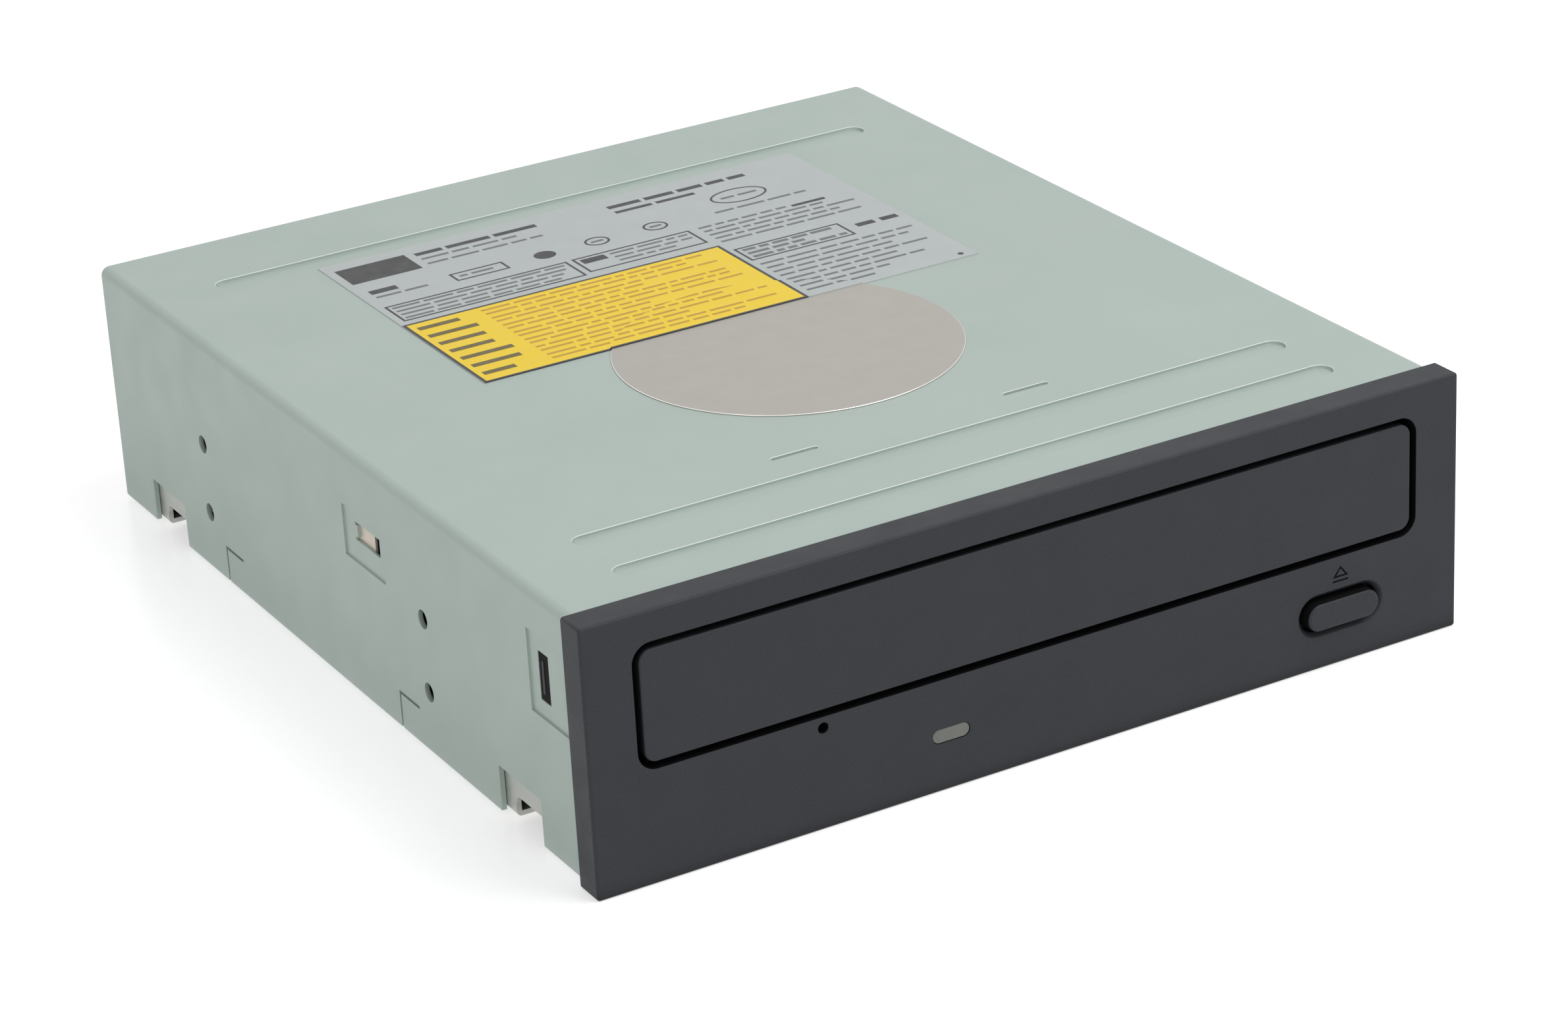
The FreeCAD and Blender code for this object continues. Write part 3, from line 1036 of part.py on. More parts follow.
def build_cam_slider():
    """Slider whose two sloping slots lower the front of the traverse."""
    body = new_body("cam_slider")
    half = of.cam_length / 2
    left, right = -half - of.cam_travel / 2, half - of.cam_travel / 2
    pad(body, "XZ", CAM_FRONT, CAM_REAR, rectangle(left, right, of.cam_low, CAM_TOP))
    slope = PIN_DROP / of.cam_travel
    room = of.cam_pin_radius + of.cam_pin_gap
    rise = room * square_root(slope * slope + 1)
    end_z = of.pivot_z - PIN_DROP
    for side in BOTH:
        x = side * of.cam_pin_x
        far = x - of.cam_travel
        pocket(body, "XZ", CAM_FRONT - 1, CAM_REAR + 1, polygon(
            (x + room, of.pivot_z - rise + slope * room), (x + room, of.pivot_z + room),
            (x + (room - rise) / slope, of.pivot_z + room), (far - room, end_z + rise - slope * room),
            (far - room, end_z - room), (far + (rise - room) / slope, end_z - room)))
    # Short row of teeth by which the gear train would take the slider over
    root, tip = of.cam_tooth_root, of.cam_tooth_tip
    low, high = CAM_TOP - of.cam_tooth_rise, CAM_TOP + of.cam_tooth_rise
    for number in range(whole(of.cam_tooth_count)):
        x = right - of.cam_tooth_inset - of.rack_module * math.pi * number
        pad(body, "XZ", CAM_FRONT, CAM_REAR,
            polygon((x - root, low), (x + root, low), (x + tip, high), (x - tip, high)))
    return keep(body)


BRIDGE_TOP = of.frame_top + of.bridge_thick


def build_clamp():
    """Bridge over the disc and the clamp that hangs in it."""
    body = new_body("clamp_bridge")
    front, rear = SPINDLE - of.bridge_depth / 2, SPINDLE + of.bridge_depth / 2
    pad(body, "XY", of.frame_top, BRIDGE_TOP, rectangle(-FRAME_SIDE, FRAME_SIDE, front, rear))
    for y in (front, rear - of.bridge_thick):
        pad(body, "XZ", y, y + of.bridge_thick, rectangle(-of.frame_inside, of.frame_inside, of.frame_top,
                                                          BRIDGE_TOP + of.bridge_rib))
    for side in BOTH:
        low, high = sorted((side * of.window_near, side * of.window_far), key=lambda size: size.value)
        pocket(body, "XY", of.frame_top - 1, BRIDGE_TOP + 1,
               rectangle(low, high, SPINDLE - of.window_reach, SPINDLE + of.window_reach))
    pad(body, "XY", of.frame_top, BRIDGE_TOP, circle(0, SPINDLE, of.bridge_hole_radius + of.bridge_collar))
    pocket(body, "XY", of.frame_top - 1, BRIDGE_TOP + 1, circle(0, SPINDLE, of.bridge_hole_radius))
    across, reach = FRAME_SIDE - of.frame_wall / 2, of.bridge_depth / 2 - of.bridge_screw_inset
    screws = [(side * across, SPINDLE + along * reach) for side in BOTH for along in BOTH]
    radius = of.bridge_screw_radius
    pocket(body, "XY", of.frame_top - 1, BRIDGE_TOP + 1,
           *[circle(x, y, radius + of.screw_gap) for x, y in screws])
    keep(body)
    heads = [fuse(rod("Z", BRIDGE_TOP, BRIDGE_TOP + of.bridge_head, x, y, of.bridge_head_radius),
                  rod("Z", of.frame_top, BRIDGE_TOP + of.bridge_head / 2, x, y, radius)) for x, y in screws]
    keep(group(*heads), "bridge_screws")
    puck = new_body("clamp_puck")
    disc_top = of.puck_low + of.puck_disc
    cap_low = BRIDGE_TOP + of.run_gap
    hollow_top = of.puck_low + of.puck_hollow_depth
    revolve(puck, "Revolution", [
        (0, hollow_top), (of.puck_hollow_radius, hollow_top), (of.puck_hollow_radius, of.puck_low),
        (of.puck_radius - of.puck_lead_in, of.puck_low), (of.puck_radius, of.puck_low + of.puck_lead_in),
        (of.puck_radius, disc_top),
        (of.puck_neck_radius, disc_top), (of.puck_neck_radius, cap_low),
        (of.clamp_magnet_radius + of.screw_gap, cap_low),
        (of.clamp_magnet_radius + of.screw_gap, cap_low - of.clamp_magnet_thick),
        (0, cap_low - of.clamp_magnet_thick)], 0, SPINDLE)
    keep(puck)
    keep(rod("Z", cap_low - of.clamp_magnet_thick, cap_low, 0, SPINDLE, of.clamp_magnet_radius),
         "clamp_magnet")
    cap = fuse(rod("Z", cap_low, cap_low + of.clamp_cap_thick, 0, SPINDLE, of.clamp_cap_radius),
               rod("Z", cap_low, cap_low + of.clamp_cap_thick + of.cap_boss, 0, SPINDLE, of.cap_boss_radius))
    keep(cap, "clamp_cap")


# Levels of the tilting traverse
HOLDER_SIDE = of.holder_width / 2
HOLDER_BASE_TOP = of.holder_low + of.holder_base
HOLDER_REAR = PIVOT + of.pivot_radius
BASE_TOP = of.base_low + of.base_thick
BASE_SIDE = HOLDER_SIDE - of.holder_wall - of.base_side_gap
BASE_REAR = PIVOT - of.base_rear_gap
DAMPERS = [(side * of.damper_x, SPINDLE + along) for side in BOTH
           for along in (-of.damper_front, of.damper_rear)]
PICKUP_FRONT = SPINDLE + of.turntable_radius
PICKUP_REAR = PICKUP_FRONT + of.pickup_length
PICKUP_END = PICKUP_REAR + of.pickup_travel
PICKUP_REACH = of.rod_x + of.rod_radius + of.arm_wall
LENS_Y = SPINDLE + of.lens_radius_min
SLED_FRONT = SPINDLE - of.sled_setback
ROD_REAR = BASE_REAR - of.clip_end_gap


def build_holder():
    """Plastic lifter frame: tilts on two trunnions at the rear and is carried by two pins in the cam."""
    body = new_body("traverse_holder")
    side, top = HOLDER_SIDE, of.holder_low + of.holder_height
    pad(body, "XY", of.holder_low, top, rectangle(-side, side, HOLDER_FRONT, HOLDER_REAR))
    wall = of.holder_wall
    pocket(body, "XY", HOLDER_BASE_TOP, top + 1,
           rectangle(-side + wall, side - wall, HOLDER_FRONT + wall, HOLDER_REAR - wall - of.pivot_radius))
    rail = of.holder_rail
    pocket(body, "XY", of.holder_low - 1, HOLDER_BASE_TOP + 1,
           rectangle(-side + rail, side - rail, HOLDER_FRONT + rail, BASE_REAR - rail))
    for x, y in DAMPERS:
        boss_low = of.holder_low - of.boss_drop
        pad(body, "XY", boss_low, HOLDER_BASE_TOP, circle(x, y, of.damper_screw_radius + of.boss_wall))
        pocket(body, "XY", boss_low - 1, HOLDER_BASE_TOP + 1,
               circle(x, y, of.damper_screw_radius + of.bore_gap))
    for sign in BOTH:
        low, high = sorted((sign * (side - of.trunnion_root), sign * (side + of.trunnion_reach)),
                           key=lambda size: size.value)
        pad(body, "YZ", low, high, circle(PIVOT, of.pivot_z, of.pivot_radius))
        pad(body, "XZ", CAM_FRONT + of.cam_gap, HOLDER_FRONT + of.trunnion_root,
            circle(sign * of.cam_pin_x, of.pivot_z, of.cam_pin_radius))
    return keep(body)


def build_base():
    """Steel base plate of the traverse, with a keyhole opening for the spindle motor and the pickup."""
    body = new_body("traverse_base")
    front = HOLDER_FRONT + of.holder_wall + of.base_front_gap
    pad(body, "XY", of.base_low, BASE_TOP, rectangle(-BASE_SIDE, BASE_SIDE, front, BASE_REAR))
    pocket(body, "XY", of.base_low - 1, BASE_TOP + 1, circle(0, SPINDLE, of.rotor_radius + of.rotor_clear))
    gap = of.sled_gap
    left, right = -PICKUP_REACH - of.window_gap, of.screw_x + of.sled_motor_radius - gap
    motor_left, motor_right = of.screw_x - of.sled_motor_radius - gap, of.screw_x + of.sled_motor_radius + gap
    motor_front, motor_rear = SLED_FRONT - gap, SLED_FRONT + of.sled_motor_length + gap
    top_line, end_line = PICKUP_FRONT - of.window_end, PICKUP_END + of.window_end
    pocket(body, "XY", of.base_low - 1, BASE_TOP + 1, polygon(
        (left, top_line), (motor_left, top_line), (motor_left, motor_front),
        (motor_right, motor_front), (motor_right, motor_rear), (right, motor_rear),
        (right, end_line), (left, end_line)))
    pocket(body, "XY", of.base_low - 1, BASE_TOP + 1,
           *[circle(x, y, of.damper_neck_radius + of.bore_gap) for x, y in DAMPERS])
    pocket(body, "XY", of.base_low - 1, BASE_TOP + 1,
           *[circle(side * of.plate_hole_x, SPINDLE - of.plate_hole_setback, of.plate_hole_radius)
             for side in BOTH])
    return keep(body)


def build_dampers():
    """Four rubber dampers, each with its screw, between the lifter frame and the steel base."""
    rubbers, screws = [], []
    for x, y in DAMPERS:
        foot = rod("Z", HOLDER_BASE_TOP, of.base_low, x, y, of.damper_radius)
        neck = rod("Z", HOLDER_BASE_TOP, BASE_TOP + of.base_thick, x, y, of.damper_neck_radius)
        top = rod("Z", BASE_TOP, BASE_TOP + of.base_thick, x, y, of.damper_radius)
        hole = rod("Z", HOLDER_BASE_TOP - 1, BASE_TOP + of.base_thick + 1, x, y,
                   of.damper_screw_radius + of.bore_gap)
        rubbers.append(cut(fuse(foot, neck, top), hole))
        head_low = BASE_TOP + of.base_thick
        screws.append(fuse(rod("Z", head_low, head_low + of.damper_head, x, y, of.damper_head_radius),
                           rod("Z", of.holder_low - of.boss_drop, head_low + of.damper_head / 2, x, y,
                               of.damper_screw_radius)))
    keep(group(*rubbers), "traverse_dampers")
    keep(group(*screws), "damper_screws")


def build_spindle():
    """Spindle motor, its rotor and the turntable on top."""
    plate = of.motor_plate_width / 2
    low = of.base_low - of.motor_plate
    stand = block(-plate, plate, SPINDLE - plate, PICKUP_FRONT - of.sled_gap, low, of.base_low)
    tube = rod("Z", low - of.bearing_foot, of.rotor_low + of.bearing_top, 0, SPINDLE, of.bearing_radius)
    bore = rod("Z", low - of.bearing_foot / 2, of.cover_top, 0, SPINDLE, of.shaft_radius + of.bore_gap)
    keep(cut(fuse(stand, tube), bore), "spindle_motor")
    core = cut(rod("Z", of.base_low + of.screw_gap, of.rotor_low + of.stator_top, 0, SPINDLE,
                   of.stator_radius),
               rod("Z", of.base_low - 1, of.cover_top, 0, SPINDLE, of.bearing_radius + of.press_gap))
    slots = []
    reach, half = of.bearing_radius + of.slot_root, of.slot_width / 2
    count = whole(of.stator_slots)
    for number in range(count):
        slot = block(reach, of.stator_radius - of.slot_tip, -half, half, of.base_low - 1, of.cover_top)
        angle = 360.0 * number / count
        slot.Placement = FreeCAD.Placement(FreeCAD.Vector(), FreeCAD.Rotation(FreeCAD.Vector(0, 0, 1), angle))
        along, across = math.cos(math.radians(angle)), math.sin(math.radians(angle))
        bind(slot, "Placement.Base.x", reach * along + half * across)
        bind(slot, "Placement.Base.y", SPINDLE + reach * across - half * along)
        slots.append(slot)
    keep(cut(core, *slots), "spindle_stator")
    rotor = new_body("spindle_rotor")
    wall = of.rotor_wall
    top = of.turntable_low - of.rotor_top_gap
    foot, tip = of.base_low - of.shaft_foot, of.turntable_low + of.shaft_top
    revolve(rotor, "Revolution", [
        (0, foot), (of.shaft_radius, foot), (of.shaft_radius, top - wall),
        (of.rotor_radius - wall, top - wall), (of.rotor_radius - wall, of.rotor_low),
        (of.rotor_radius, of.rotor_low), (of.rotor_radius, top), (of.shaft_radius, top),
        (of.shaft_radius, tip), (0, tip)], 0, SPINDLE)
    keep(rotor)
    table = new_body("turntable")
    table_top = of.turntable_low + of.turntable_thick
    bore = of.shaft_radius + of.press_gap
    edge, hub_inner, hub_top = of.table_lead_in, of.hub_top_radius - of.hub_wall, table_top + of.hub_height
    revolve(table, "Revolution", [
        (bore, top), (of.hub_radius, top), (of.hub_radius, of.turntable_low),
        (of.turntable_radius - edge, of.turntable_low), (of.turntable_radius, of.turntable_low + edge),
        (of.turntable_radius, table_top), (of.hub_radius, table_top),
        (of.hub_radius, table_top + of.hub_height / 2), (of.hub_top_radius, hub_top), (hub_inner, hub_top),
        (hub_inner, table_top + of.hub_floor), (bore, table_top + of.hub_floor)], 0, SPINDLE)
    keep(table)
    mat = cut(rod("Z", table_top, table_top + of.mat_thick, 0, SPINDLE,
                  of.turntable_radius - of.mat_inset),
              rod("Z", table_top - 1, table_top + 1, 0, SPINDLE, of.mat_inner_radius))
    keep(mat, "turntable_mat")


def build_rods():
    """Two guide rods in clips on the base plate."""
    rods, clips = [], []
    front = PICKUP_FRONT - of.rod_front
    near_end = front + of.clip_front_gap
    far_end = PICKUP_END + of.window_end + of.clip_end_gap
    for side in BOTH:
        x = side * of.rod_x
        rods.append(rod("Y", front, ROD_REAR, x, of.rod_z, of.rod_radius))
        for low, high in ((near_end, near_end + of.clip_length), (far_end, ROD_REAR - of.clip_end_gap)):
            shell = block(x - of.clip_half, x + of.clip_half, low, high, BASE_TOP,
                          of.rod_z + of.rod_radius + of.clip_cover)
            bore = rod("Y", low - 1, high + 1, x, of.rod_z, of.rod_radius + of.press_gap)
            clips.append(cut(shell, bore))
    keep(rods[0], "guide_rod_left")
    keep(rods[1], "guide_rod_right")
    keep(group(*clips), "rod_clips")


def build_pickup():
    """Laser pickup: cast body on the rods, actuator magnets, sprung lens holder and lens."""
    body = new_body("pickup_body")
    half = of.pickup_width / 2
    middle = LENS_Y
    slope, corner, nose = of.pickup_slope, of.pickup_corner, of.pickup_nose
    nose_front = PICKUP_FRONT + of.pickup_nose_gap
    pad(body, "XY", of.pickup_low, of.pickup_top - of.pickup_step, polygon(
        (-half, PICKUP_FRONT + slope), (-nose, nose_front), (nose, nose_front), (half, PICKUP_FRONT + slope),
        (half, PICKUP_REAR - slope), (half - corner, PICKUP_REAR), (corner - half, PICKUP_REAR),
        (-half, PICKUP_REAR - slope)))
    reach = PICKUP_REACH
    pad(body, "XY", of.rod_z - of.arm_low, of.pickup_top - of.arm_step,
        rectangle(-reach, 1 - half, middle - of.left_arm, middle + of.left_arm),
        rectangle(half - 1, reach, middle - of.right_arm, middle + of.right_arm))
    room = of.rod_radius + of.rod_gap
    pocket(body, "XZ", PICKUP_FRONT - 1, PICKUP_REAR + 1, circle(-of.rod_x, of.rod_z, room),
           rectangle(of.rod_x - room - of.pickup_nose_gap, reach + 1, of.rod_z - room, of.rod_z + room))
    well = of.pickup_low + of.well_floor
    pocket(body, "XY", well, of.pickup_top + 1, rectangle(
        -of.well_half, of.well_half, middle - of.well_reach, middle + of.well_reach))
    pocket(body, "XY", of.pickup_low + of.port_floor, of.pickup_top + 1,
           *[circle(side * (half - of.port_inset), middle, of.port_radius) for side in BOTH])
    keep(body)
    magnets = []
    for side in BOTH:
        front = middle + side * of.magnet_place - of.magnet_thick / 2
        magnets.append(block(-of.magnet_half, of.magnet_half, front, front + of.magnet_thick, well,
                             of.pickup_top - of.magnet_drop))
    keep(group(*magnets), "actuator_magnets")
    holder = new_body("lens_holder")
    low = of.pickup_top - of.lens_seat
    pad(holder, "XY", of.pickup_top - of.holder_drop, of.pickup_top - of.holder_top_drop, rounded(
        -of.holder_half, of.holder_half, middle - of.holder_reach, middle + of.holder_reach, of.holder_round))
    pocket(holder, "XY", of.pickup_low, of.pickup_top, circle(0, middle, of.lens_radius - of.lens_ledge))
    pocket(holder, "XY", low, of.pickup_top, circle(0, middle, of.lens_radius + of.press_gap))
    keep(holder)
    lens = new_body("objective_lens")
    revolve(lens, "Revolution", [
        (0, low), (of.lens_radius, low), (of.lens_radius, low + of.lens_edge),
        (of.lens_radius - of.lens_ledge, low + of.lens_middle), (of.lens_radius / 2, low + of.lens_crown),
        (0, low + of.lens_thick)], 0, middle)
    keep(lens)
    front, rear = middle - of.follower_half, middle + of.follower_half
    nut_foot = block(half + of.press_gap, of.screw_x + of.follower_side, front, rear, of.pickup_low,
                     of.rod_z - of.arm_low)
    collar = rod("Y", front, rear, of.screw_x, of.screw_z, of.screw_radius + of.follower_wall)
    bore = rod("Y", front - 1, rear + 1, of.screw_x, of.screw_z, of.screw_radius + of.bore_gap)
    keep(cut(fuse(nut_foot, collar), bore), "screw_follower")


def build_sled_drive():
    """Sled motor, its bracket, the lead screw and the bearing at the screw's far end."""
    x, z = of.screw_x, of.screw_z
    rear = SLED_FRONT + of.sled_motor_length
    keep(rod("Y", SLED_FRONT, rear, x, z, of.sled_motor_radius), "sled_motor")
    edge, back = x + of.sled_motor_radius, rear + of.lug_thick
    lug = block(x - of.sled_motor_radius, edge + of.lug_side, rear, back, BASE_TOP - of.lug_drop,
                z + of.sled_motor_radius)
    foot = block(edge + of.lug_foot_side, BASE_SIDE, rear - of.lug_foot, back, BASE_TOP,
                 BASE_TOP + of.lug_thick)
    trim = block(edge - of.lug_trim, BASE_SIDE, rear - 1, back + 1, BASE_TOP - of.lug_drop - 1, BASE_TOP)
    hole = rod("Y", rear - 1, back + 1, x, z, of.screw_radius + of.screw_gap)
    keep(cut(fuse(cut(lug, trim), foot), hole), "sled_bracket")
    end = PICKUP_END + of.screw_end
    keep(rod("Y", rear + of.run_gap, end, x, z, of.screw_radius), "lead_screw")
    left, right, top = x - of.post_half, x + of.post_half, BASE_TOP + of.post_height
    post = block(left, right, end - of.post_front, end + of.post_wall, BASE_TOP - of.post_drop, top)
    shelf = block(left, right, end, BASE_REAR, BASE_TOP, top)
    bore = rod("Y", end - of.post_front - 1, end + of.screw_play, x, z, of.screw_radius + of.bore_gap)
    keep(cut(fuse(post, shelf), bore), "screw_bearing")


def build_boards():
    """Main and front circuit boards with what is soldered to them."""
    low, top = of.board_low, MOTOR_BASE
    half = of.main_board_width / 2
    board_front = BOARD_REAR - of.main_board_depth
    main = block(-half, half, board_front, BOARD_REAR, low, top)
    keep(main, "main_board")
    left = of.front_board_x - of.front_board_width / 2
    front = block(left, left + of.front_board_width, SEAT + of.run_gap, SEAT + of.front_board_depth, low, top)
    keep(front, "front_board")
    chips = (("controller_chip", of.controller_x, of.controller_setback, of.controller_side,
              of.controller_side, of.controller_high),
             ("memory_chip", of.memory_x, of.memory_setback, of.memory_width, of.memory_length,
              of.memory_high),
             ("motor_driver_chip", of.driver_x, of.driver_setback, of.driver_width, of.driver_length,
              of.driver_high))
    for name, x, setback, wide, deep, high in chips:
        centre = board_front + setback
        keep(block(x - wide / 2, x + wide / 2, centre - deep / 2, centre + deep / 2, top, top + high), name)
    x, z = of.button_x, of.button_z
    wide, rise = of.plunger_half, of.plunger_rise
    room = of.plunger_gap
    case = block(x - of.switch_half, x + of.switch_half, SWITCH_FRONT, SWITCH_FRONT + of.switch_depth, top,
                 z + of.switch_top)
    well = block(x - wide - room, x + wide + room, SWITCH_FRONT - 1, SWITCH_FRONT + of.plunger_bore,
                 z - rise - room, z + rise + room)
    keep(cut(case, well), "eject_switch")
    keep(block(x - wide, x + wide, SWITCH_TIP + of.plunger_tip_gap, SWITCH_FRONT + of.plunger_root, z - rise,
               z + rise), "switch_plunger")
    case = block(of.lamp_x - of.lamp_half, of.lamp_x + of.lamp_half, LAMP_FRONT + of.lamp_foot,
                 LAMP_FRONT + of.lamp_back, top, of.lamp_z + of.lamp_top)
    dome = rod("Y", LAMP_FRONT, LAMP_FRONT + of.lamp_top, of.lamp_x, of.lamp_z, of.lamp_dome)
    keep(fuse(case, dome), "status_lamp")
    near_end, far_end = SEAT + of.front_board_depth - of.ribbon_front, board_front + of.ribbon_back
    left, right = of.ribbon_x - of.ribbon_width / 2, of.ribbon_x + of.ribbon_width / 2
    thick = of.ribbon_thick
    strips = [block(left, right, near_end, far_end, PAN_TOP, PAN_TOP + thick),
              block(left, right, near_end, near_end + thick, PAN_TOP, low),
              block(left, right, far_end - thick, far_end, PAN_TOP, low)]
    keep(fuse(*strips), "front_ribbon")


SOCKET_REAR = REAR - of.side_rear_inset
SOCKET_FRONT = SOCKET_REAR - of.socket_depth


def socket_shell(middle, width, height):
    """Open-mouthed plastic socket that faces the rear."""
    wall = of.socket_wall
    left, right, high = middle - width / 2, middle + width / 2, SOCKET_LOW + height
    outer = block(left, right, SOCKET_FRONT, SOCKET_REAR, SOCKET_LOW, high)
    inner = block(left + wall, right - wall, SOCKET_FRONT + of.socket_base, SOCKET_REAR + 1,
                  SOCKET_LOW + wall, high - wall)
    return outer, inner


def pin_grid(middle, columns, rows, z, side):
    """Square pins in rows that stand in a socket and reach back onto the board."""
    pins = []
    for column in range(columns):
        x = middle + of.pin_pitch * (column - (columns - 1) / 2)
        for row in range(rows):
            level = z + of.pin_pitch * (row - (rows - 1) / 2)
            pins.append(block(x - side / 2, x + side / 2, SOCKET_FRONT - of.pin_back,
                              SOCKET_REAR - of.pin_front, level - side / 2, level + side / 2))
    return pins


def build_sockets():
    """Rear sockets: data, power, selection jumper and analogue audio."""
    rows, fit = whole(of.pin_rows), of.pin_side + of.pin_fit
    columns = whole(of.ide_columns)
    outer, inner = socket_shell(of.ide_x, of.ide_width, of.ide_height)
    high = SOCKET_LOW + of.ide_height
    key = block(of.ide_x - of.key_half, of.ide_x + of.key_half, SOCKET_FRONT + of.socket_base,
                SOCKET_REAR + 1, high - of.key_height, high + 1)
    z = SOCKET_LOW + of.ide_height / 2
    pins = pin_grid(of.ide_x, columns, rows, z, of.pin_side)
    keep(cut(outer, inner, key, *pin_grid(of.ide_x, columns, rows, z, fit)), "data_socket")

    outer, inner = socket_shell(of.power_x, of.power_width, of.power_height)
    z = SOCKET_LOW + of.power_height / 2
    ways = whole(of.power_ways)
    round_pins, holes = [], []
    for number in range(ways):
        x = of.power_x + of.power_pitch * (number - (ways - 1) / 2)
        radius = of.power_pin_radius
        round_pins.append(rod("Y", SOCKET_FRONT - of.pin_back, SOCKET_REAR - of.pin_front, x, z, radius))
        holes.append(rod("Y", SOCKET_FRONT - 1, SOCKET_REAR - of.pin_front + 1, x, z,
                         radius + of.pin_fit / 2))
    keep(cut(outer, inner, *holes), "power_socket")
    keep(group(*round_pins), "power_pins")

    columns = whole(of.jumper_columns)
    width, height = of.pin_pitch * columns + of.header_edge, of.pin_pitch * rows + of.header_edge
    z = SOCKET_LOW + height / 2
    face = SOCKET_FRONT + of.header_thick
    base = block(of.jumper_x - width / 2, of.jumper_x + width / 2, SOCKET_FRONT, face, SOCKET_LOW,
                 SOCKET_LOW + height)
    pins += pin_grid(of.jumper_x, columns, rows, z, of.pin_side)
    keep(cut(base, *pin_grid(of.jumper_x, columns, rows, z, fit)), "jumper_header")
    x, half, bore = of.jumper_x + of.pin_pitch, of.cap_half, of.cap_bore
    cap = block(x - half, x + half, face + of.cap_gap, SOCKET_REAR - of.cap_front, z - of.cap_rise,
                z + of.cap_rise)
    bores = []
    for side in BOTH:
        level = z + of.pin_pitch / 2 * side
        bores.append(block(x - bore, x + bore, face - 1, SOCKET_REAR - of.pin_front + of.cap_gap,
                           level - bore, level + bore))
    keep(cut(cap, *bores), "jumper_cap")

    height = of.ide_height - of.audio_drop
    outer, inner = socket_shell(of.audio_x, of.audio_width, height)
    z = SOCKET_LOW + height / 2
    ways = whole(of.audio_ways)
    pins += pin_grid(of.audio_x, ways, 1, z, of.pin_side)
    keep(cut(outer, inner, *pin_grid(of.audio_x, ways, 1, z, fit)), "audio_socket")
    keep(group(*pins), "header_pins")


build_cover()
build_pan()
build_bezel()
build_door()
build_button()
build_lamp_pipe()
build_foil()
build_sticker()
build_pan_screws()
build_frame()
build_tray()
build_gears()
build_motor()
build_cam_slider()
build_clamp()
build_holder()
build_base()
build_dampers()
build_spindle()
build_rods()
build_pickup()
build_sled_drive()
build_boards()
build_sockets()


def check_and_write():
    """Recomputes the model, checks each part and writes it to its own file."""
    doc.recompute()
    for thing in doc.Objects:
        if "Invalid" in thing.State or "Error" in thing.State:
            raise RuntimeError("failed feature: %s %s" % (thing.Name, thing.State))
    os.makedirs("parts", exist_ok=True)
    for part in NODES:
        shape = part.Shape
        if shape.isNull() or not shape.isValid() or shape.Volume <= 0:
            raise RuntimeError("bad shape: " + part.Label)
        shape.exportStep("parts/%s.step" % part.Label)
        print("%-22s solids %2d  volume %9.1f" % (part.Label, len(shape.Solids), shape.Volume))
    print(len(NODES), "parts")


check_and_write()
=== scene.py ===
# %% [markdown]
# # An internal disc drive, dressed for its portrait
# The CAD model brings the exact solids of a half-height disc drive. This lesson gives them the
# surfaces of the real thing: sprayed sheet metal, grained plastic, foil, paper, rubber and board.
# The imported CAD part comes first, because every size and place below is read from it.

# %% Load the CAD part
import json
import math
import random

import bmesh
import bpy
from mathutils import Matrix, Vector


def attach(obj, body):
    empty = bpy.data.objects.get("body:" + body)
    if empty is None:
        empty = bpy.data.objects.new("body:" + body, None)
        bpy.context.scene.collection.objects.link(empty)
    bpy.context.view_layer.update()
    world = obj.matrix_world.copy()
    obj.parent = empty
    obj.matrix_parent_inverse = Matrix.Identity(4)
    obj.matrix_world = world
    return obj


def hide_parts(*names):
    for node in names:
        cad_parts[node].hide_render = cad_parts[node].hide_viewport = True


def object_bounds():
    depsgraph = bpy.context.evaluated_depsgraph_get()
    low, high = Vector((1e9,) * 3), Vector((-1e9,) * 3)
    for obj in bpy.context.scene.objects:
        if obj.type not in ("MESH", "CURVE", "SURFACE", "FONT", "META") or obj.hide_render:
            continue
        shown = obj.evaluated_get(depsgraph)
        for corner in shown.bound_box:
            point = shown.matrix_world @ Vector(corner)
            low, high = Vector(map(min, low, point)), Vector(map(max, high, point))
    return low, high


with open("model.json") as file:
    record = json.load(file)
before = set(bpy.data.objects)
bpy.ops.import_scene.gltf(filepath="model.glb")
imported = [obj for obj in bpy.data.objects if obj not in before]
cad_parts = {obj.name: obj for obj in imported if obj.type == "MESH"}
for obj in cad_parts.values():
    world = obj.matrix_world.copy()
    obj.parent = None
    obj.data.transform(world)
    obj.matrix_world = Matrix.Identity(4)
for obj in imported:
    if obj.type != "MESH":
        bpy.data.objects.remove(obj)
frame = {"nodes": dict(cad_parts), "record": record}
cad_low, cad_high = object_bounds()
print("CAD box in mm:", [round(v * 1000, 1) for v in (*cad_low, *cad_high)])

# %% [markdown]
# ## A starting point for every finish
# Real surfaces differ from point to point: paint is a little uneven, plastic is etched, steel is
# rolled. A picture of each surface could be wrapped around the part, but noise that is worked out
# in space needs no picture and has no seams. So each finish starts as one shader, and small
# helpers add unevenness of colour, of gloss and of height to it, in real sizes.

# %% Helpers for finishes
MM = 0.001


def paint_tone(red, green, blue):
    """Colour as a painter reads it from a swatch, 0 to 255, turned into light."""
    tone = []
    for level in (red / 255, green / 255, blue / 255):
        tone.append(level / 12.92 if level <= 0.04 else ((level + 0.055) / 1.055) ** 2.4)
    return tone + [1]


def new_finish(name, tone, roughness, metallic=0.0):
    """A plain surface that the other helpers refine."""
    finish = bpy.data.materials.new(name)
    finish.use_nodes = True
    shader = finish.node_tree.nodes["Principled BSDF"]
    shader.inputs["Base Color"].default_value = tone
    shader.inputs["Roughness"].default_value = roughness
    shader.inputs["Metallic"].default_value = metallic
    finish.diffuse_color = tone
    return finish


def add_node(finish, kind, **settings):
    """A shader node of this kind, with its settings."""
    node = finish.node_tree.nodes.new(kind)
    for key, value in settings.items():
        setattr(node, key, value)
    return node


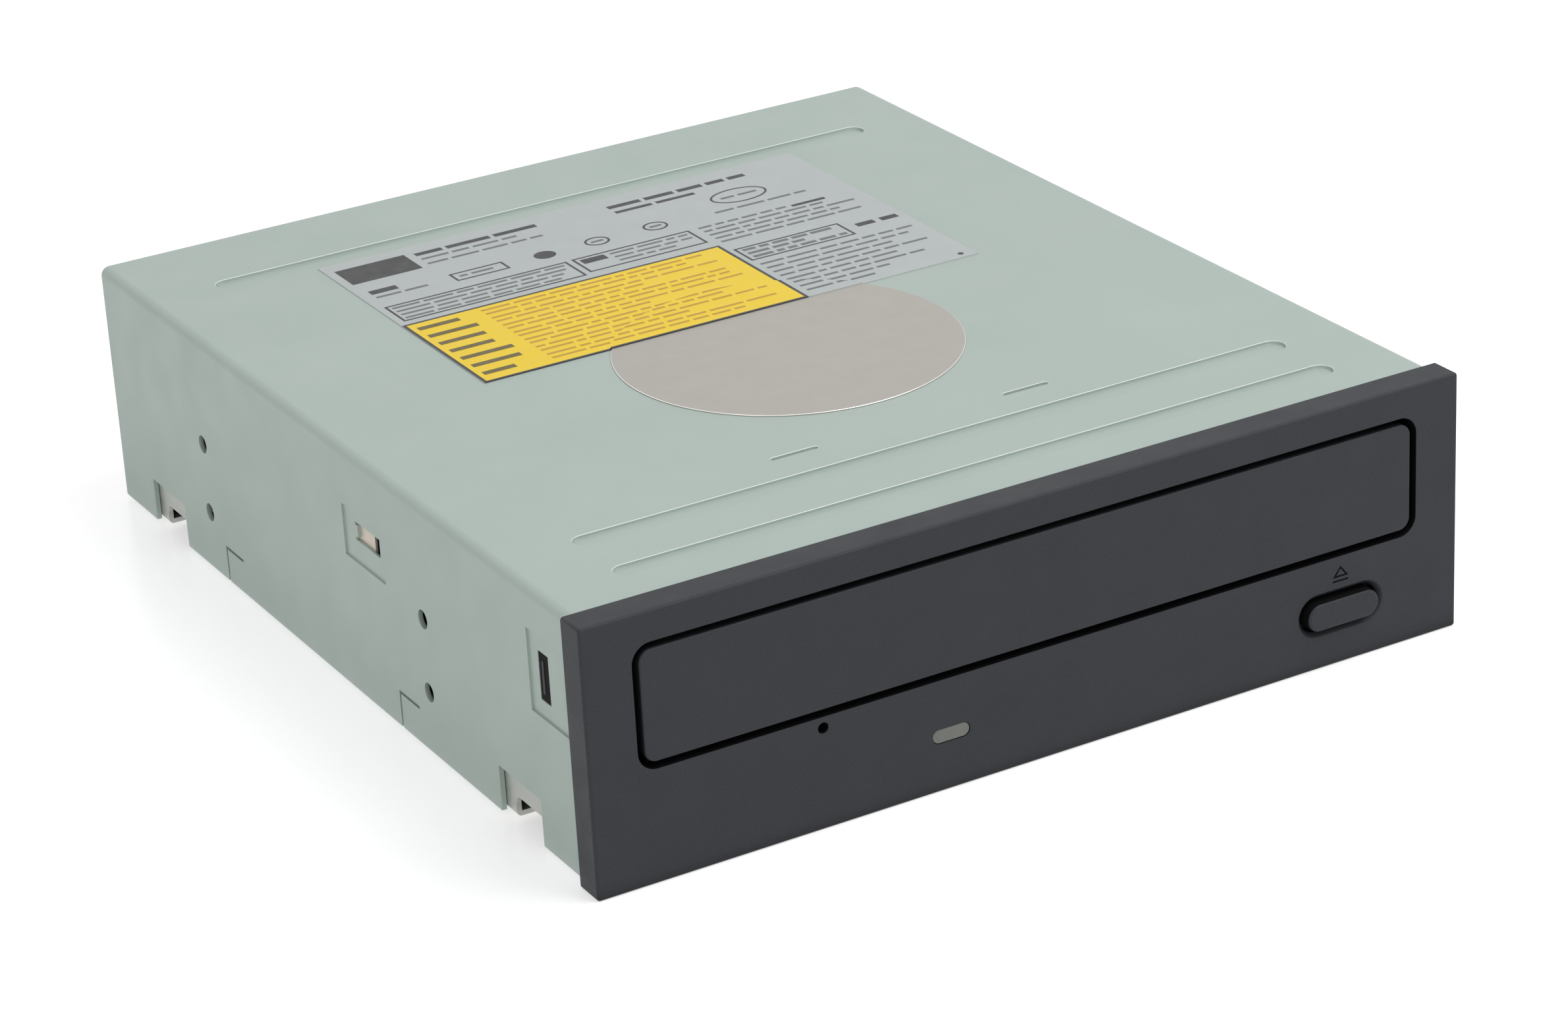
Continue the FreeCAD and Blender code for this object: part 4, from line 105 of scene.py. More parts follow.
def join(finish, source, target):
    """A link from one node's output to another's input."""
    finish.node_tree.links.new(source, target)


def noise(finish, size, stretch=(1, 1, 1), detail=3.0):
    """Noise whose spots are about this wide, in metres, and longer along a stretched axis."""
    place = add_node(finish, "ShaderNodeTexCoord")
    turn = add_node(finish, "ShaderNodeMapping")
    spots = add_node(finish, "ShaderNodeTexNoise")
    turn.inputs["Scale"].default_value = [1 / s for s in stretch]
    spots.inputs["Scale"].default_value = 1 / size
    spots.inputs["Detail"].default_value = detail
    join(finish, place.outputs["Object"], turn.inputs["Vector"])
    join(finish, turn.outputs["Vector"], spots.inputs["Vector"])
    return spots.outputs["Fac"]


def spread(finish, value, low, high, from_low=0.3, from_high=0.7):
    """Noise stretched over a new range."""
    ramp = add_node(finish, "ShaderNodeMapRange")
    for key, number in (("From Min", from_low), ("From Max", from_high), ("To Min", low), ("To Max", high)):
        ramp.inputs[key].default_value = number
    join(finish, value, ramp.inputs["Value"])
    return ramp.outputs["Result"]


def tint(finish, value, dark, light):
    """Colour between two tones, led by a value from 0 to 1."""
    mix = add_node(finish, "ShaderNodeMix", data_type="RGBA")
    mix.inputs["A"].default_value = dark
    mix.inputs["B"].default_value = light
    join(finish, value, mix.inputs["Factor"])
    return mix.outputs["Result"]


def shader_of(finish):
    """The one surface shader of a finish."""
    return finish.node_tree.nodes["Principled BSDF"]


def vary_tone(finish, size, change, stretch=(1, 1, 1)):
    """Lighter and darker spots around the finish's own tone."""
    tone = list(shader_of(finish).inputs["Base Color"].default_value)
    dark = [v * (1 - change) for v in tone[:3]] + [1]
    light = [min(1, v * (1 + change)) for v in tone[:3]] + [1]
    colour = tint(finish, spread(finish, noise(finish, size, stretch), 0, 1), dark, light)
    join(finish, colour, shader_of(finish).inputs["Base Color"])


def vary_gloss(finish, size, low, high, stretch=(1, 1, 1)):
    """Duller and shinier spots."""
    value = spread(finish, noise(finish, size, stretch), low, high)
    join(finish, value, shader_of(finish).inputs["Roughness"])


def paint_gap_shade(finish, reach, darkest):
    """Painted shade: darkens a varied tone where surfaces stand close together."""
    target = shader_of(finish).inputs["Base Color"]
    near = add_node(finish, "ShaderNodeAmbientOcclusion", samples=8)
    near.inputs["Distance"].default_value = reach
    level = spread(finish, near.outputs["AO"], darkest, 1.0, 0.1, 0.9)
    change = add_node(finish, "ShaderNodeMixRGB", blend_type="MULTIPLY")
    change.inputs["Fac"].default_value = 1.0
    join(finish, target.links[0].from_socket, change.inputs["Color1"])
    join(finish, level, change.inputs["Color2"])
    join(finish, change.outputs["Color"], target)


def add_grain(finish, size, height, strength=1.0, stretch=(1, 1, 1)):
    """Fine hills, this wide and this high, felt only by the light."""
    bump = add_node(finish, "ShaderNodeBump")
    bump.inputs["Distance"].default_value = height
    bump.inputs["Strength"].default_value = strength
    join(finish, noise(finish, size, stretch), bump.inputs["Height"])
    join(finish, bump.outputs["Normal"], shader_of(finish).inputs["Normal"])


print("helpers ready")

# %% [markdown]
# ## Sprayed sheet metal
# The case is thin sheet steel with a pale grey-green coat that is nearly matt. A single colour
# would look like paper, so the tone drifts slowly over some centimetres, the gloss drifts on its
# own, and a very low grain breaks the reflections. The bottom pan is the same steel, slightly
# warmer, as rolled sheet without the coat.

# %% Case finishes
cover_coat = new_finish("cover_coat", paint_tone(181, 195, 188), 0.46, 0.15)
vary_tone(cover_coat, 30 * MM, 0.02)
vary_gloss(cover_coat, 9 * MM, 0.42, 0.52)
add_grain(cover_coat, 0.35 * MM, 0.006 * MM)

pan_steel = new_finish("pan_steel", paint_tone(186, 188, 182), 0.4, 0.55)
vary_tone(pan_steel, 14 * MM, 0.03, (1, 6, 1))
vary_gloss(pan_steel, 1.5 * MM, 0.34, 0.48, (1, 14, 1))
add_grain(pan_steel, 0.2 * MM, 0.004 * MM, 1.0, (1, 20, 1))

# A near-white coat for the slopes into the beads: a painted highlight for the light they catch.
cover_slope_highlight = new_finish("cover_slope_highlight", paint_tone(250, 252, 250), 0.34, 0.1)
vary_tone(cover_slope_highlight, 12 * MM, 0.03)
vary_gloss(cover_slope_highlight, 5 * MM, 0.3, 0.4)

catch_steel = new_finish("catch_steel", paint_tone(214, 203, 190), 0.42, 0.4)
vary_tone(catch_steel, 3 * MM, 0.03)
vary_gloss(catch_steel, 1 * MM, 0.36, 0.5)

plain_steel = new_finish("plain_steel", paint_tone(176, 176, 172), 0.34, 0.9)
vary_tone(plain_steel, 5 * MM, 0.04, (1, 5, 1))
vary_gloss(plain_steel, 0.8 * MM, 0.28, 0.42, (1, 16, 1))
print("case finishes: coat, its rim and three bare steels")

# %% [markdown]
# ## Etched bezel plastic
# Bezel, tray door and button are moulded in one warm charcoal plastic with a spark-etched skin.
# Up close the skin shows tiny lighter and darker points. Two sizes of noise give them: a fine one
# for the points and the grain, and a broad one so that the gloss isn't the same everywhere.

# %% Bezel finishes
bezel_plastic = new_finish("bezel_plastic", paint_tone(58, 61, 65), 0.55)
vary_tone(bezel_plastic, 0.16 * MM, 0.2)
vary_gloss(bezel_plastic, 7 * MM, 0.46, 0.56)
add_grain(bezel_plastic, 0.22 * MM, 0.02 * MM, 0.7)
# Painted shade: the bezel's tone darkens in gaps and recesses, within 2.5 mm.
paint_gap_shade(bezel_plastic, 2.5 * MM, 0.12)
shader_of(bezel_plastic).inputs["Specular IOR Level"].default_value = 0.2

# A near-black finish laid where only shade falls, as painted shade: the sign's floor, gap walls, hook gaps,
# the strip behind the door.
painted_shade_black = new_finish("painted_shade_black", paint_tone(14, 14, 16), 0.7)
vary_tone(painted_shade_black, 2 * MM, 0.06)
add_grain(painted_shade_black, 0.2 * MM, 0.01 * MM)
shader_of(painted_shade_black).inputs["Specular IOR Level"].default_value = 0.1

lamp_plastic = new_finish("lamp_plastic", paint_tone(113, 114, 108), 0.3)
vary_tone(lamp_plastic, 2.5 * MM, 0.08)
shader_of(lamp_plastic).inputs["Subsurface Weight"].default_value = 0.25
shader_of(lamp_plastic).inputs["Subsurface Radius"].default_value = (1.2 * MM, 1.2 * MM, 1.1 * MM)
shader_of(lamp_plastic).inputs["Coat Weight"].default_value = 0.4
shader_of(lamp_plastic).inputs["Coat Roughness"].default_value = 0.12
print("bezel finishes:", bezel_plastic.name, painted_shade_black.name, lamp_plastic.name)

# %% [markdown]
# ## Foil and label
# The round foil is thin aluminium with a satin face, so it mirrors only softly. The label is
# silver-grey coated paper with flat ink on it. Ink has the paper's gloss, so the inks share its
# grain and differ in tone.

# %% Foil and label finishes
foil_skin = new_finish("foil_skin", paint_tone(182, 178, 171), 0.5, 0.55)
vary_gloss(foil_skin, 4 * MM, 0.44, 0.56)
add_grain(foil_skin, 0.25 * MM, 0.004 * MM)

# The foil's rolled rim: its lower roughness is its own, and its lighter tone is a painted highlight.
foil_rim_highlight = new_finish("foil_rim_highlight", paint_tone(235, 232, 228), 0.22, 1.0)
vary_gloss(foil_rim_highlight, 3 * MM, 0.18, 0.28)


def paper_finish(name, tone):
    """Paper, or ink on paper: both have the same gloss and the same grain."""
    finish = new_finish(name, tone, 0.42)
    vary_tone(finish, 6 * MM, 0.015)
    vary_gloss(finish, 2 * MM, 0.38, 0.47)
    add_grain(finish, 0.3 * MM, 0.003 * MM)
    return finish


label_paper = paper_finish("label_paper", paint_tone(190, 196, 196))
yellow_ink = paper_finish("yellow_ink", paint_tone(255, 218, 10))
dark_ink = paper_finish("dark_ink", paint_tone(30, 31, 34))
grey_ink = paper_finish("grey_ink", paint_tone(104, 108, 110))
ochre_ink = paper_finish("ochre_ink", paint_tone(205, 155, 20))
olive_ink = paper_finish("olive_ink", paint_tone(96, 82, 24))
print("label finishes: paper and 5 inks")

# %% [markdown]
# ## Plastics of the loader
# Frame and tray are moulded in satin black plastic, with broad soft flow marks. Gears, cam and
# clamp are natural acetal, a waxy ivory plastic that lets a little light in. A little light under
# the surface makes it look waxy instead of painted.

# %% Loader plastics


def moulded(name, tone, roughness, grain=0.01, flow=0.05):
    """Moulded plastic with a grain of this height, in millimetres, and faint flow marks."""
    finish = new_finish(name, tone, roughness)
    vary_tone(finish, 12 * MM, flow)
    vary_gloss(finish, 5 * MM, roughness - 0.06, roughness + 0.07)
    add_grain(finish, 0.3 * MM, grain * MM, 0.8)
    return finish


frame_plastic = moulded("frame_plastic", paint_tone(44, 44, 46), 0.45)
tray_plastic = moulded("tray_plastic", paint_tone(52, 51, 54), 0.42, 0.014)
lifter_plastic = moulded("lifter_plastic", paint_tone(38, 38, 40), 0.38)
socket_plastic = moulded("socket_plastic", paint_tone(34, 34, 35), 0.34)
chip_plastic = moulded("chip_plastic", paint_tone(40, 40, 42), 0.6, 0.016)
gear_acetal = moulded("gear_acetal", paint_tone(232, 228, 214), 0.38, 0.006, 0.02)
socket_nylon = moulded("socket_nylon", paint_tone(233, 229, 213), 0.42, 0.006, 0.02)
for waxy in (gear_acetal, socket_nylon):
    shader_of(waxy).inputs["Subsurface Weight"].default_value = 0.12
    shader_of(waxy).inputs["Subsurface Radius"].default_value = (1.5 * MM, 1.3 * MM, 1.0 * MM)
print("loader plastics: 7")

# %% [markdown]
# ## Turned, drawn and cast metal
# Guide rods and the lead screw are ground and polished, so they mirror. Motor cans are drawn
# steel with faint rings, screws are plated, and the pickup body is cast zinc with a pebbled skin.
# Each one is a metal shader, and only the gloss and the grain tell them apart, as on the bench.

# %% Metals


def metal(name, tone, low, high, size, stretch=(1, 1, 1), height=0.002):
    """Bare metal whose gloss changes between two levels, with tool marks of this size."""
    finish = new_finish(name, tone, (low + high) / 2, 1.0)
    vary_gloss(finish, size, low, high, stretch)
    add_grain(finish, size, height * MM, 1.0, stretch)
    return finish


polished_steel = metal("polished_steel", paint_tone(214, 214, 212), 0.1, 0.18, 0.6 * MM, (1, 8, 1), 0.001)
motor_steel = metal("motor_steel", paint_tone(186, 186, 182), 0.26, 0.38, 0.5 * MM, (8, 8, 1))
screw_steel = metal("screw_steel", paint_tone(196, 196, 190), 0.22, 0.34, 0.8 * MM)
cast_zinc = metal("cast_zinc", paint_tone(158, 160, 162), 0.4, 0.55, 0.35 * MM, height=0.02)
magnet_plate = metal("magnet_plate", paint_tone(120, 120, 124), 0.22, 0.34, 0.7 * MM)
pin_gold = metal("pin_gold", paint_tone(224, 182, 96), 0.16, 0.26, 0.6 * MM)
pin_tin = metal("pin_tin", paint_tone(206, 205, 200), 0.22, 0.34, 0.6 * MM)
print("metals: 7")

# %% [markdown]
# ## Rubber, glass and film
# The belt, the dampers and the turntable's mat are rubber, which is nearly black, rough and
# powdery. The lens is moulded glass with a faintly blue coating. The flat ribbon is white film
# with copper strips that show through as fine lines along it.

# %% Rubber, glass and film
rubber = new_finish("rubber", paint_tone(32, 32, 33), 0.82)
vary_tone(rubber, 1.5 * MM, 0.2)
add_grain(rubber, 0.15 * MM, 0.02 * MM)

lens_glass = new_finish("lens_glass", paint_tone(186, 206, 236), 0.03)
shader_of(lens_glass).inputs["Transmission Weight"].default_value = 0.85
shader_of(lens_glass).inputs["IOR"].default_value = 1.52
shader_of(lens_glass).inputs["Coat Weight"].default_value = 0.6
shader_of(lens_glass).inputs["Coat Tint"].default_value = (0.72, 0.8, 1.0, 1)
vary_tone(lens_glass, 1.0 * MM, 0.02)

ribbon_film = new_finish("ribbon_film", paint_tone(228, 228, 222), 0.35)
strip_lines = add_node(ribbon_film, "ShaderNodeTexWave", bands_direction="X")
strip_place = add_node(ribbon_film, "ShaderNodeTexCoord")
strip_lines.inputs["Scale"].default_value = 1 / (3.2 * MM)
join(ribbon_film, strip_place.outputs["Object"], strip_lines.inputs["Vector"])
film_over_copper, bare_film = paint_tone(198, 190, 176), paint_tone(236, 236, 230)
strip_tone = tint(ribbon_film, strip_lines.outputs["Fac"], film_over_copper, bare_film)
join(ribbon_film, strip_tone, shader_of(ribbon_film).inputs["Base Color"])
print("rubber, glass and film ready")

# %% [markdown]
# ## Circuit board
# A board is green lacquer over copper tracks. The tracks lie in straight runs, so a noise that is
# cut into cells, each filled with lines along or across, comes close. The lacquer is glossy and
# stands up a little over each track, which the grain repeats.

# %% Board lacquer
board_lacquer = new_finish("board_lacquer", paint_tone(26, 92, 50), 0.3)
board_place = add_node(board_lacquer, "ShaderNodeTexCoord")
cells = add_node(board_lacquer, "ShaderNodeTexVoronoi", distance="CHEBYCHEV")
cells.inputs["Scale"].default_value = 1 / (11 * MM)
join(board_lacquer, board_place.outputs["Object"], cells.inputs["Vector"])
which_way = add_node(board_lacquer, "ShaderNodeSeparateColor")
join(board_lacquer, cells.outputs["Color"], which_way.inputs["Color"])
runs = []
for direction in ("X", "Y"):
    tracks = add_node(board_lacquer, "ShaderNodeTexWave", bands_direction=direction)
    tracks.inputs["Scale"].default_value = 1 / (3.6 * MM)
    join(board_lacquer, board_place.outputs["Object"], tracks.inputs["Vector"])
    runs.append(tracks.outputs["Fac"])
one_way = add_node(board_lacquer, "ShaderNodeMix", data_type="FLOAT")
turned = spread(board_lacquer, which_way.outputs["Red"], 0, 1, 0.49, 0.51)
for value, socket in ((turned, "Factor"), (runs[0], "A"), (runs[1], "B")):
    join(board_lacquer, value, one_way.inputs[socket])
copper = spread(board_lacquer, one_way.outputs["Result"], 0, 1, 0.62, 0.7)
lacquer = tint(board_lacquer, copper, paint_tone(22, 84, 44), paint_tone(52, 124, 66))
join(board_lacquer, lacquer, shader_of(board_lacquer).inputs["Base Color"])
ridge = add_node(board_lacquer, "ShaderNodeBump")
ridge.inputs["Distance"].default_value = 0.03 * MM
join(board_lacquer, copper, ridge.inputs["Height"])
join(board_lacquer, ridge.outputs["Normal"], shader_of(board_lacquer).inputs["Normal"])
print("board lacquer ready")

# %% [markdown]
# ## Give each CAD piece its finish
# Each record slot has one finish, and the CAD nodes know their slots. A list of pairs keeps the
# choice readable. The case and the front aren't in it, because they get skins of their own below.

# %% Finish of each slot
FINISH_OF_SLOT = {
    "cover_paint": cover_coat, "plain_steel": plain_steel, "bezel_plastic": bezel_plastic,
    "lamp_plastic": lamp_plastic, "foil": foil_skin, "label_paper": label_paper,
    "frame_plastic": frame_plastic, "tray_plastic": tray_plastic, "gear_plastic": gear_acetal,
    "lifter_plastic": lifter_plastic, "motor_steel": motor_steel, "belt_rubber": rubber,
    "damper_rubber": rubber, "polished_steel": polished_steel, "zinc_cast": cast_zinc,
    "magnet": magnet_plate, "lens_glass": lens_glass, "board_green": board_lacquer,
    "chip_black": chip_plastic, "socket_black": socket_plastic, "socket_white": socket_nylon,
    "pin_gold": pin_gold, "pin_tin": pin_tin, "ribbon": ribbon_film, "screw_steel": screw_steel,
}
slot_of = {part["node"]: part["material_slot"] for part in frame["record"]["subparts"]}
for node, piece in frame["nodes"].items():
    finish = pan_steel if node == "bottom_pan" else FINISH_OF_SLOT[slot_of[node]]
    for holder in piece.material_slots:
        holder.material = finish
print("finished", len(slot_of), "CAD nodes")

# %% [markdown]
# ## Skins with soft edges
# A CAD edge is infinitely sharp, so it never catches light. On the real drive every moulded or
# bent edge is slightly round and draws a fine bright line. The edge could be faked in the
# shader, but a real bevel also shows in the mesh. So each visible piece gets a skin: a copy of
# the CAD mesh, with its flat triangles joined and its sharp edges rounded.

# %% Skin helper


def body_of_node(node):
    """The moving body that a CAD node belongs to."""
    bodies = frame["record"]["behaviour"]["bodies"]
    return next(body for body, nodes in bodies.items() if node in nodes)


def show(name, mesh, node, finish):
    """A new piece in this finish that rides with a node's body."""
    piece = bpy.data.objects.new(name, mesh)
    bpy.context.collection.objects.link(piece)
    mesh.materials.clear()
    mesh.materials.append(finish)
    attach(piece, body_of_node(node))
    return piece


def apply_modifiers(piece):
    """The mesh as its modifiers leave it, with none left on the piece."""
    reader = bpy.context.evaluated_depsgraph_get()
    done = bpy.data.meshes.new_from_object(piece.evaluated_get(reader))
    piece.modifiers.clear()
    piece.data = done


def refinish(piece, finish, wanted):
    """Gives the faces that the test picks another finish."""
    piece.data.materials.append(finish)
    chosen = [face for face in piece.data.polygons if wanted(face)]
    for face in chosen:
        face.material_index = len(piece.data.materials) - 1
    print(finish.name, "on", len(chosen), "faces of", piece.name)


SHARP = math.radians(32)
SAME_POINT, SAME_PLANE = 0.002 * MM, math.radians(0.4)


def skin(node, edge, slope=0, on_slope=None):
    """A soft-edged copy of a CAD node, in the same finish, that stands for it. Edges that on_slope picks
    get the wider bevel called slope."""
    finish = frame["nodes"][node].material_slots[0].material
    work = bmesh.new()
    work.from_mesh(frame["nodes"][node].data)
    bmesh.ops.remove_doubles(work, verts=work.verts, dist=SAME_POINT)
    bmesh.ops.dissolve_limit(work, angle_limit=SAME_PLANE, verts=work.verts, edges=work.edges)
    widest = max(edge, slope)
    share = work.edges.layers.float.new("bevel_weight_edge")
    for line in work.edges:
        if line.calc_face_angle(0) > SHARP:
            line[share] = 1.0 if on_slope and on_slope(line) else edge / widest
    mesh = bpy.data.meshes.new(node + "_skin")
    work.to_mesh(mesh)
    work.free()
    piece = show(node + "_skin", mesh, node, finish)
    rounder = piece.modifiers.new("soft_edges", "BEVEL")
    rounder.width = widest
    rounder.segments = 2
    rounder.limit_method = "WEIGHT"
    rounder.use_clamp_overlap = True
    for face in mesh.polygons:
        face.use_smooth = True
    mesh.set_sharp_from_angle(angle=SHARP)
    flatter = piece.modifiers.new("flat_faces", "WEIGHTED_NORMAL")
    flatter.weight = 100
    flatter.keep_sharp = False
    apply_modifiers(piece)
    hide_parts(node)
    print(piece.name, len(piece.data.polygons), "faces")
    return piece


# %% [markdown]
# The cover is pressed from thin sheet, so its edges are barely rounded. The bezel, the door and the button
# are moulded, and their outer edges are softer. These five pieces make up nearly all of the portrait.
# A press can't make an upright step in sheet, so the beads slope at their rim. These slopes take a near-white
# coat, a painted highlight, so that they show as pale lines.

# %% Skins of the case and the front
COVER_TOP = 41.2 * MM
PRESSED_X, PRESSED_Y = 70 * MM, 78 * MM
SLOPE_WIDTH = 0.34 * MM


def in_pressed_area(point):
    """Whether a point lies inside the rim of the cover's top, where the beads are."""
    return abs(point.x) < PRESSED_X and abs(point.y) < PRESSED_Y


def pressed_edge(line):
    """Whether a line is an upper edge of a bead or mark that is pressed into the top."""
    return all(abs(end.co.z - COVER_TOP) < 0.01 * MM and in_pressed_area(end.co) for end in line.verts)


def pressed_slope(face):
    """Whether a face slopes from the top into a bead."""
    return (0.3 < face.normal.z < 0.95 and in_pressed_area(face.center)
            and COVER_TOP - 0.4 * MM < face.center.z < COVER_TOP)


# The faces that slope into the beads take the near-white coat, a painted highlight.
refinish(skin("top_cover", 0.12 * MM, SLOPE_WIDTH, pressed_edge), cover_slope_highlight, pressed_slope)
for node, edge in (("bottom_pan", 0.1), ("front_bezel", 0.25), ("tray_door", 0.2),
                   ("eject_button", 0.15)):
    skin(node, edge * MM)


# %% [markdown]
# The label is printed paper. The print stands here for its kind only: a yellow field with a dark edge,
# a dark block, ruled bars in rows, framed boxes and a few rings, with no letters and no marks.
# Ink has next to no height. Each colour is one piece that follows the paper, also where the paper steps
# up onto the foil, and it stands 0.015 mm proud of it, so that the colours never flicker.

# %% Where the print lies
LABEL_LEFT, LABEL_FRONT = -44.5, 1.2
YELLOW_RIGHT, YELLOW_REAR = 12.8, 30.1
INK_RISE = 0.015 * MM
words = random.Random(5)


def box_outline(left, right, front, rear):
    """The four corners of a box on the label, in millimetres."""
    return [(left, front), (right, front), (right, rear), (left, rear)]


def ring_of(x, y, across, along):
    """Points around an oval, given by its middle and its two half widths."""
    turns = [2 * math.pi * number / 40 for number in range(40)]
    return [(x + across * math.cos(turn), y + along * math.sin(turn)) for turn in turns]


def inner_box(left, right, front, rear, line):
    """The box that is left inside a frame of this line width."""
    return box_outline(left + line, right - line, front + line, rear - line)


def row_of_bars(left, right, middle, height, gap=0.7, shortest=1.4, longest=6.0):
    """Bars of uneven length in a row, as far apart as words are."""
    bars, start = [], left
    while start < right - shortest:
        end = min(start + words.uniform(shortest, longest), right)
        bars.append(box_outline(start, end, middle - height / 2, middle + height / 2))
        start = end + gap
    return bars


# %% [markdown]
# The shapes of one colour first become upright columns that reach through the paper. A copy of the paper,
# lifted by the height of the ink, then cuts them to its own form. A ring is a wide column less a narrow one.

# %% The printing itself
COLUMN_LOW, COLUMN_HIGH = 41.0 * MM, 41.9 * MM


def columns(outlines):
    """One object of upright columns, each with the outline of a printed shape."""
    work = bmesh.new()
    for outline in outlines:
        floor_ring = [work.verts.new((x * MM, y * MM, COLUMN_LOW)) for x, y in outline]
        roof_ring = [work.verts.new((x * MM, y * MM, COLUMN_HIGH)) for x, y in outline]
        work.faces.new(list(reversed(floor_ring)))
        work.faces.new(roof_ring)
        for first in range(len(outline)):
            second = (first + 1) % len(outline)
            work.faces.new((floor_ring[first], floor_ring[second], roof_ring[second], roof_ring[first]))
    mesh = bpy.data.meshes.new("columns")
    work.to_mesh(mesh)
    work.free()
    return bpy.data.objects.new("columns", mesh)


def cut_with(piece, tool, operation):
    """Cuts a piece with a tool and throws the tool away."""
    bpy.context.collection.objects.link(tool)
    change = piece.modifiers.new("cut", "BOOLEAN")
    change.operation = operation
    change.object = tool
    change.solver = "EXACT"
    apply_modifiers(piece)
    bpy.data.objects.remove(tool)


def lifted_paper(rise):
    """The label's own form, raised by the height of the ink."""
    mesh = frame["nodes"]["top_sticker"].data.copy()
    mesh.transform(Matrix.Translation((0, 0, rise)))
    return bpy.data.objects.new("lifted_paper", mesh)


def print_ink(name, outlines, finish, holes=(), layer=1):
    """A piece of ink on the label; a second layer lies on top of the first."""
    shapes = columns(outlines)
    ink = show(name, shapes.data, "top_sticker", finish)
    bpy.data.objects.remove(shapes)
    if holes:
        cut_with(ink, columns(holes), "DIFFERENCE")
    cut_with(ink, lifted_paper(layer * INK_RISE), "INTERSECT")
    print(name, len(ink.data.polygons), "faces")


# %% [markdown]
# The yellow field lies at the front left corner of the label. Its dark edge is printed around it, and both
# stop just short of the paper's own edge.

# %% Yellow field
edge_line, margin = 0.55, 0.05
field = (LABEL_LEFT + margin, YELLOW_RIGHT, LABEL_FRONT + margin, YELLOW_REAR)
print_ink("label_field_edge", [box_outline(*field)], dark_ink, holes=[inner_box(*field, edge_line)])
print_ink("label_field", [inner_box(*field, edge_line)], yellow_ink)

# %% [markdown]
# Seven bold bars stand in a column at the left of the field, and each has two finer rows beside it.

# %% Bars on the yellow field
bold_bars, fine_bars = [], []
for number in range(7):
    level = 27.2 - 3.75 * number
    length = (7.2, 8.6, 8.0, 7.6, 9.0, 8.4, 5.6)[number]
    bold_bars.append(box_outline(-43.0, -43.0 + length, level - 0.65, level + 0.65))
    for step, end in ((0.9, words.uniform(5.0, 10.5)), (-0.8, words.uniform(-8.0, 9.0))):
        fine_bars += row_of_bars(-31.5, end, level + step, 0.62)
print_ink("label_field_words", bold_bars, olive_ink, layer=2)
print_ink("label_field_rows", fine_bars, ochre_ink, layer=2)

# %% [markdown]
# The silver ground has a dark block and a heading at the rear left, a second heading at the rear right,
# a line of small boxes and rings, two framed boxes above the yellow field, and a column of rows at the right.

# %% Dark print on the silver ground
dark_bars = [box_outline(-43.0, -30.5, 51.0, 58.2)]
DARK_ROWS = ((-29.0, -4.6, 57.0, 1.3), (6.6, 32.8, 56.7, 1.3), (6.6, 25.4, 54.0, 1.0),
             (-42.4, -34.0, 46.0, 1.7), (35.4, 38.8, 24.2, 1.5), (40.0, 43.2, 24.2, 1.5),
             (-8.6, -4.2, 37.2, 2.0), (31.6, 41.2, 38.6, 0.9))
for left, right, middle, height in DARK_ROWS:
    dark_bars += row_of_bars(left, right, middle, height, gap=0.8, shortest=3.0, longest=8.0)
dark_bars += [ring_of(-11.9, 43.9, 1.9, 1.7), ring_of(42.1, 2.9, 0.5, 0.5)]
print_ink("label_dark_print", dark_bars, dark_ink)

# %% [markdown]
# Boxes and rings are lines of ink around bare paper, so each is a filled shape less a smaller one.

# %% Framed boxes and rings
boxes = [(-28.6, -19.0, 42.1, 45.6), (-43.3, -10.6, 31.6, 39.0), (-9.6, 12.2, 32.4, 39.2),
         (13.7, 33.4, 20.8, 27.0)]
rings = [(-2.1, 44.2, 2.2, 1.9), (8.9, 44.4, 2.2, 1.9), (27.2, 48.8, 5.2, 3.2)]
line = 0.4
print_ink("label_boxes", [box_outline(*box) for box in boxes] + [ring_of(*ring) for ring in rings], dark_ink,
          holes=[inner_box(*box, line) for box in boxes]
          + [ring_of(x, y, across - line, along - line) for x, y, across, along in rings])

# %% [markdown]
# The fine rows are grey, since letters this small leave more paper than ink.

# %% Grey rows on the silver ground
grey_bars = []
GREY_ROWS = ((-29.0, -10.5, 54.6), (-29.0, -8.0, 52.2), (-42.4, -33.0, 43.6), (-27.4, -20.4, 43.9),
             (23.8, 30.6, 48.8), (19.8, 37.2, 43.6), (-3.2, -1.0, 44.2), (7.8, 10.0, 44.4))
for left, right, middle in GREY_ROWS:
    grey_bars += row_of_bars(left, right, middle, 0.7)
for number in range(4):
    grey_bars += row_of_bars(-42.4, -11.6 - 3 * (number == 3), 37.7 - 1.6 * number, 0.62)
for number in range(3):
    grey_bars += row_of_bars(-3.2, 11.2 - 4 * (number == 2), 37.7 - 1.7 * number, 0.62)
for number in range(5):
    grey_bars += row_of_bars(14.0, 42.6 - 5 * (number % 2) - 12 * (number == 0), 38.9 - 1.9 * number, 0.68)
for number in range(3):
    grey_bars += row_of_bars(14.8, 32.4 - 6 * (number == 1), 25.7 - 1.75 * number, 0.9, longest=4.0)
for number in range(8):
    grey_bars += row_of_bars(14.0, 42.6 - (0, 2, 5, 1, 8, 4, 12, 16)[number], 18.6 - 2.1 * number, 0.66)
print_ink("label_grey_print", grey_bars, grey_ink)


# %% [markdown]
# ## Softer edges on the pieces behind the case
# The open tray, the sockets and the lifter frame are moulded, and none of them has a knife edge. A copy
# of each takes a small bevel, so that every edge catches a thin line of light.

# %% Skins of the moulded pieces
for node, edge in (("disc_tray", 0.2), ("data_socket", 0.12), ("power_socket", 0.15), ("audio_socket", 0.1),
                   ("jumper_header", 0.08), ("jumper_cap", 0.1), ("traverse_holder", 0.15),
                   ("lamp_pipe", 0.12), ("turntable", 0.12)):
    skin(node, edge * MM)

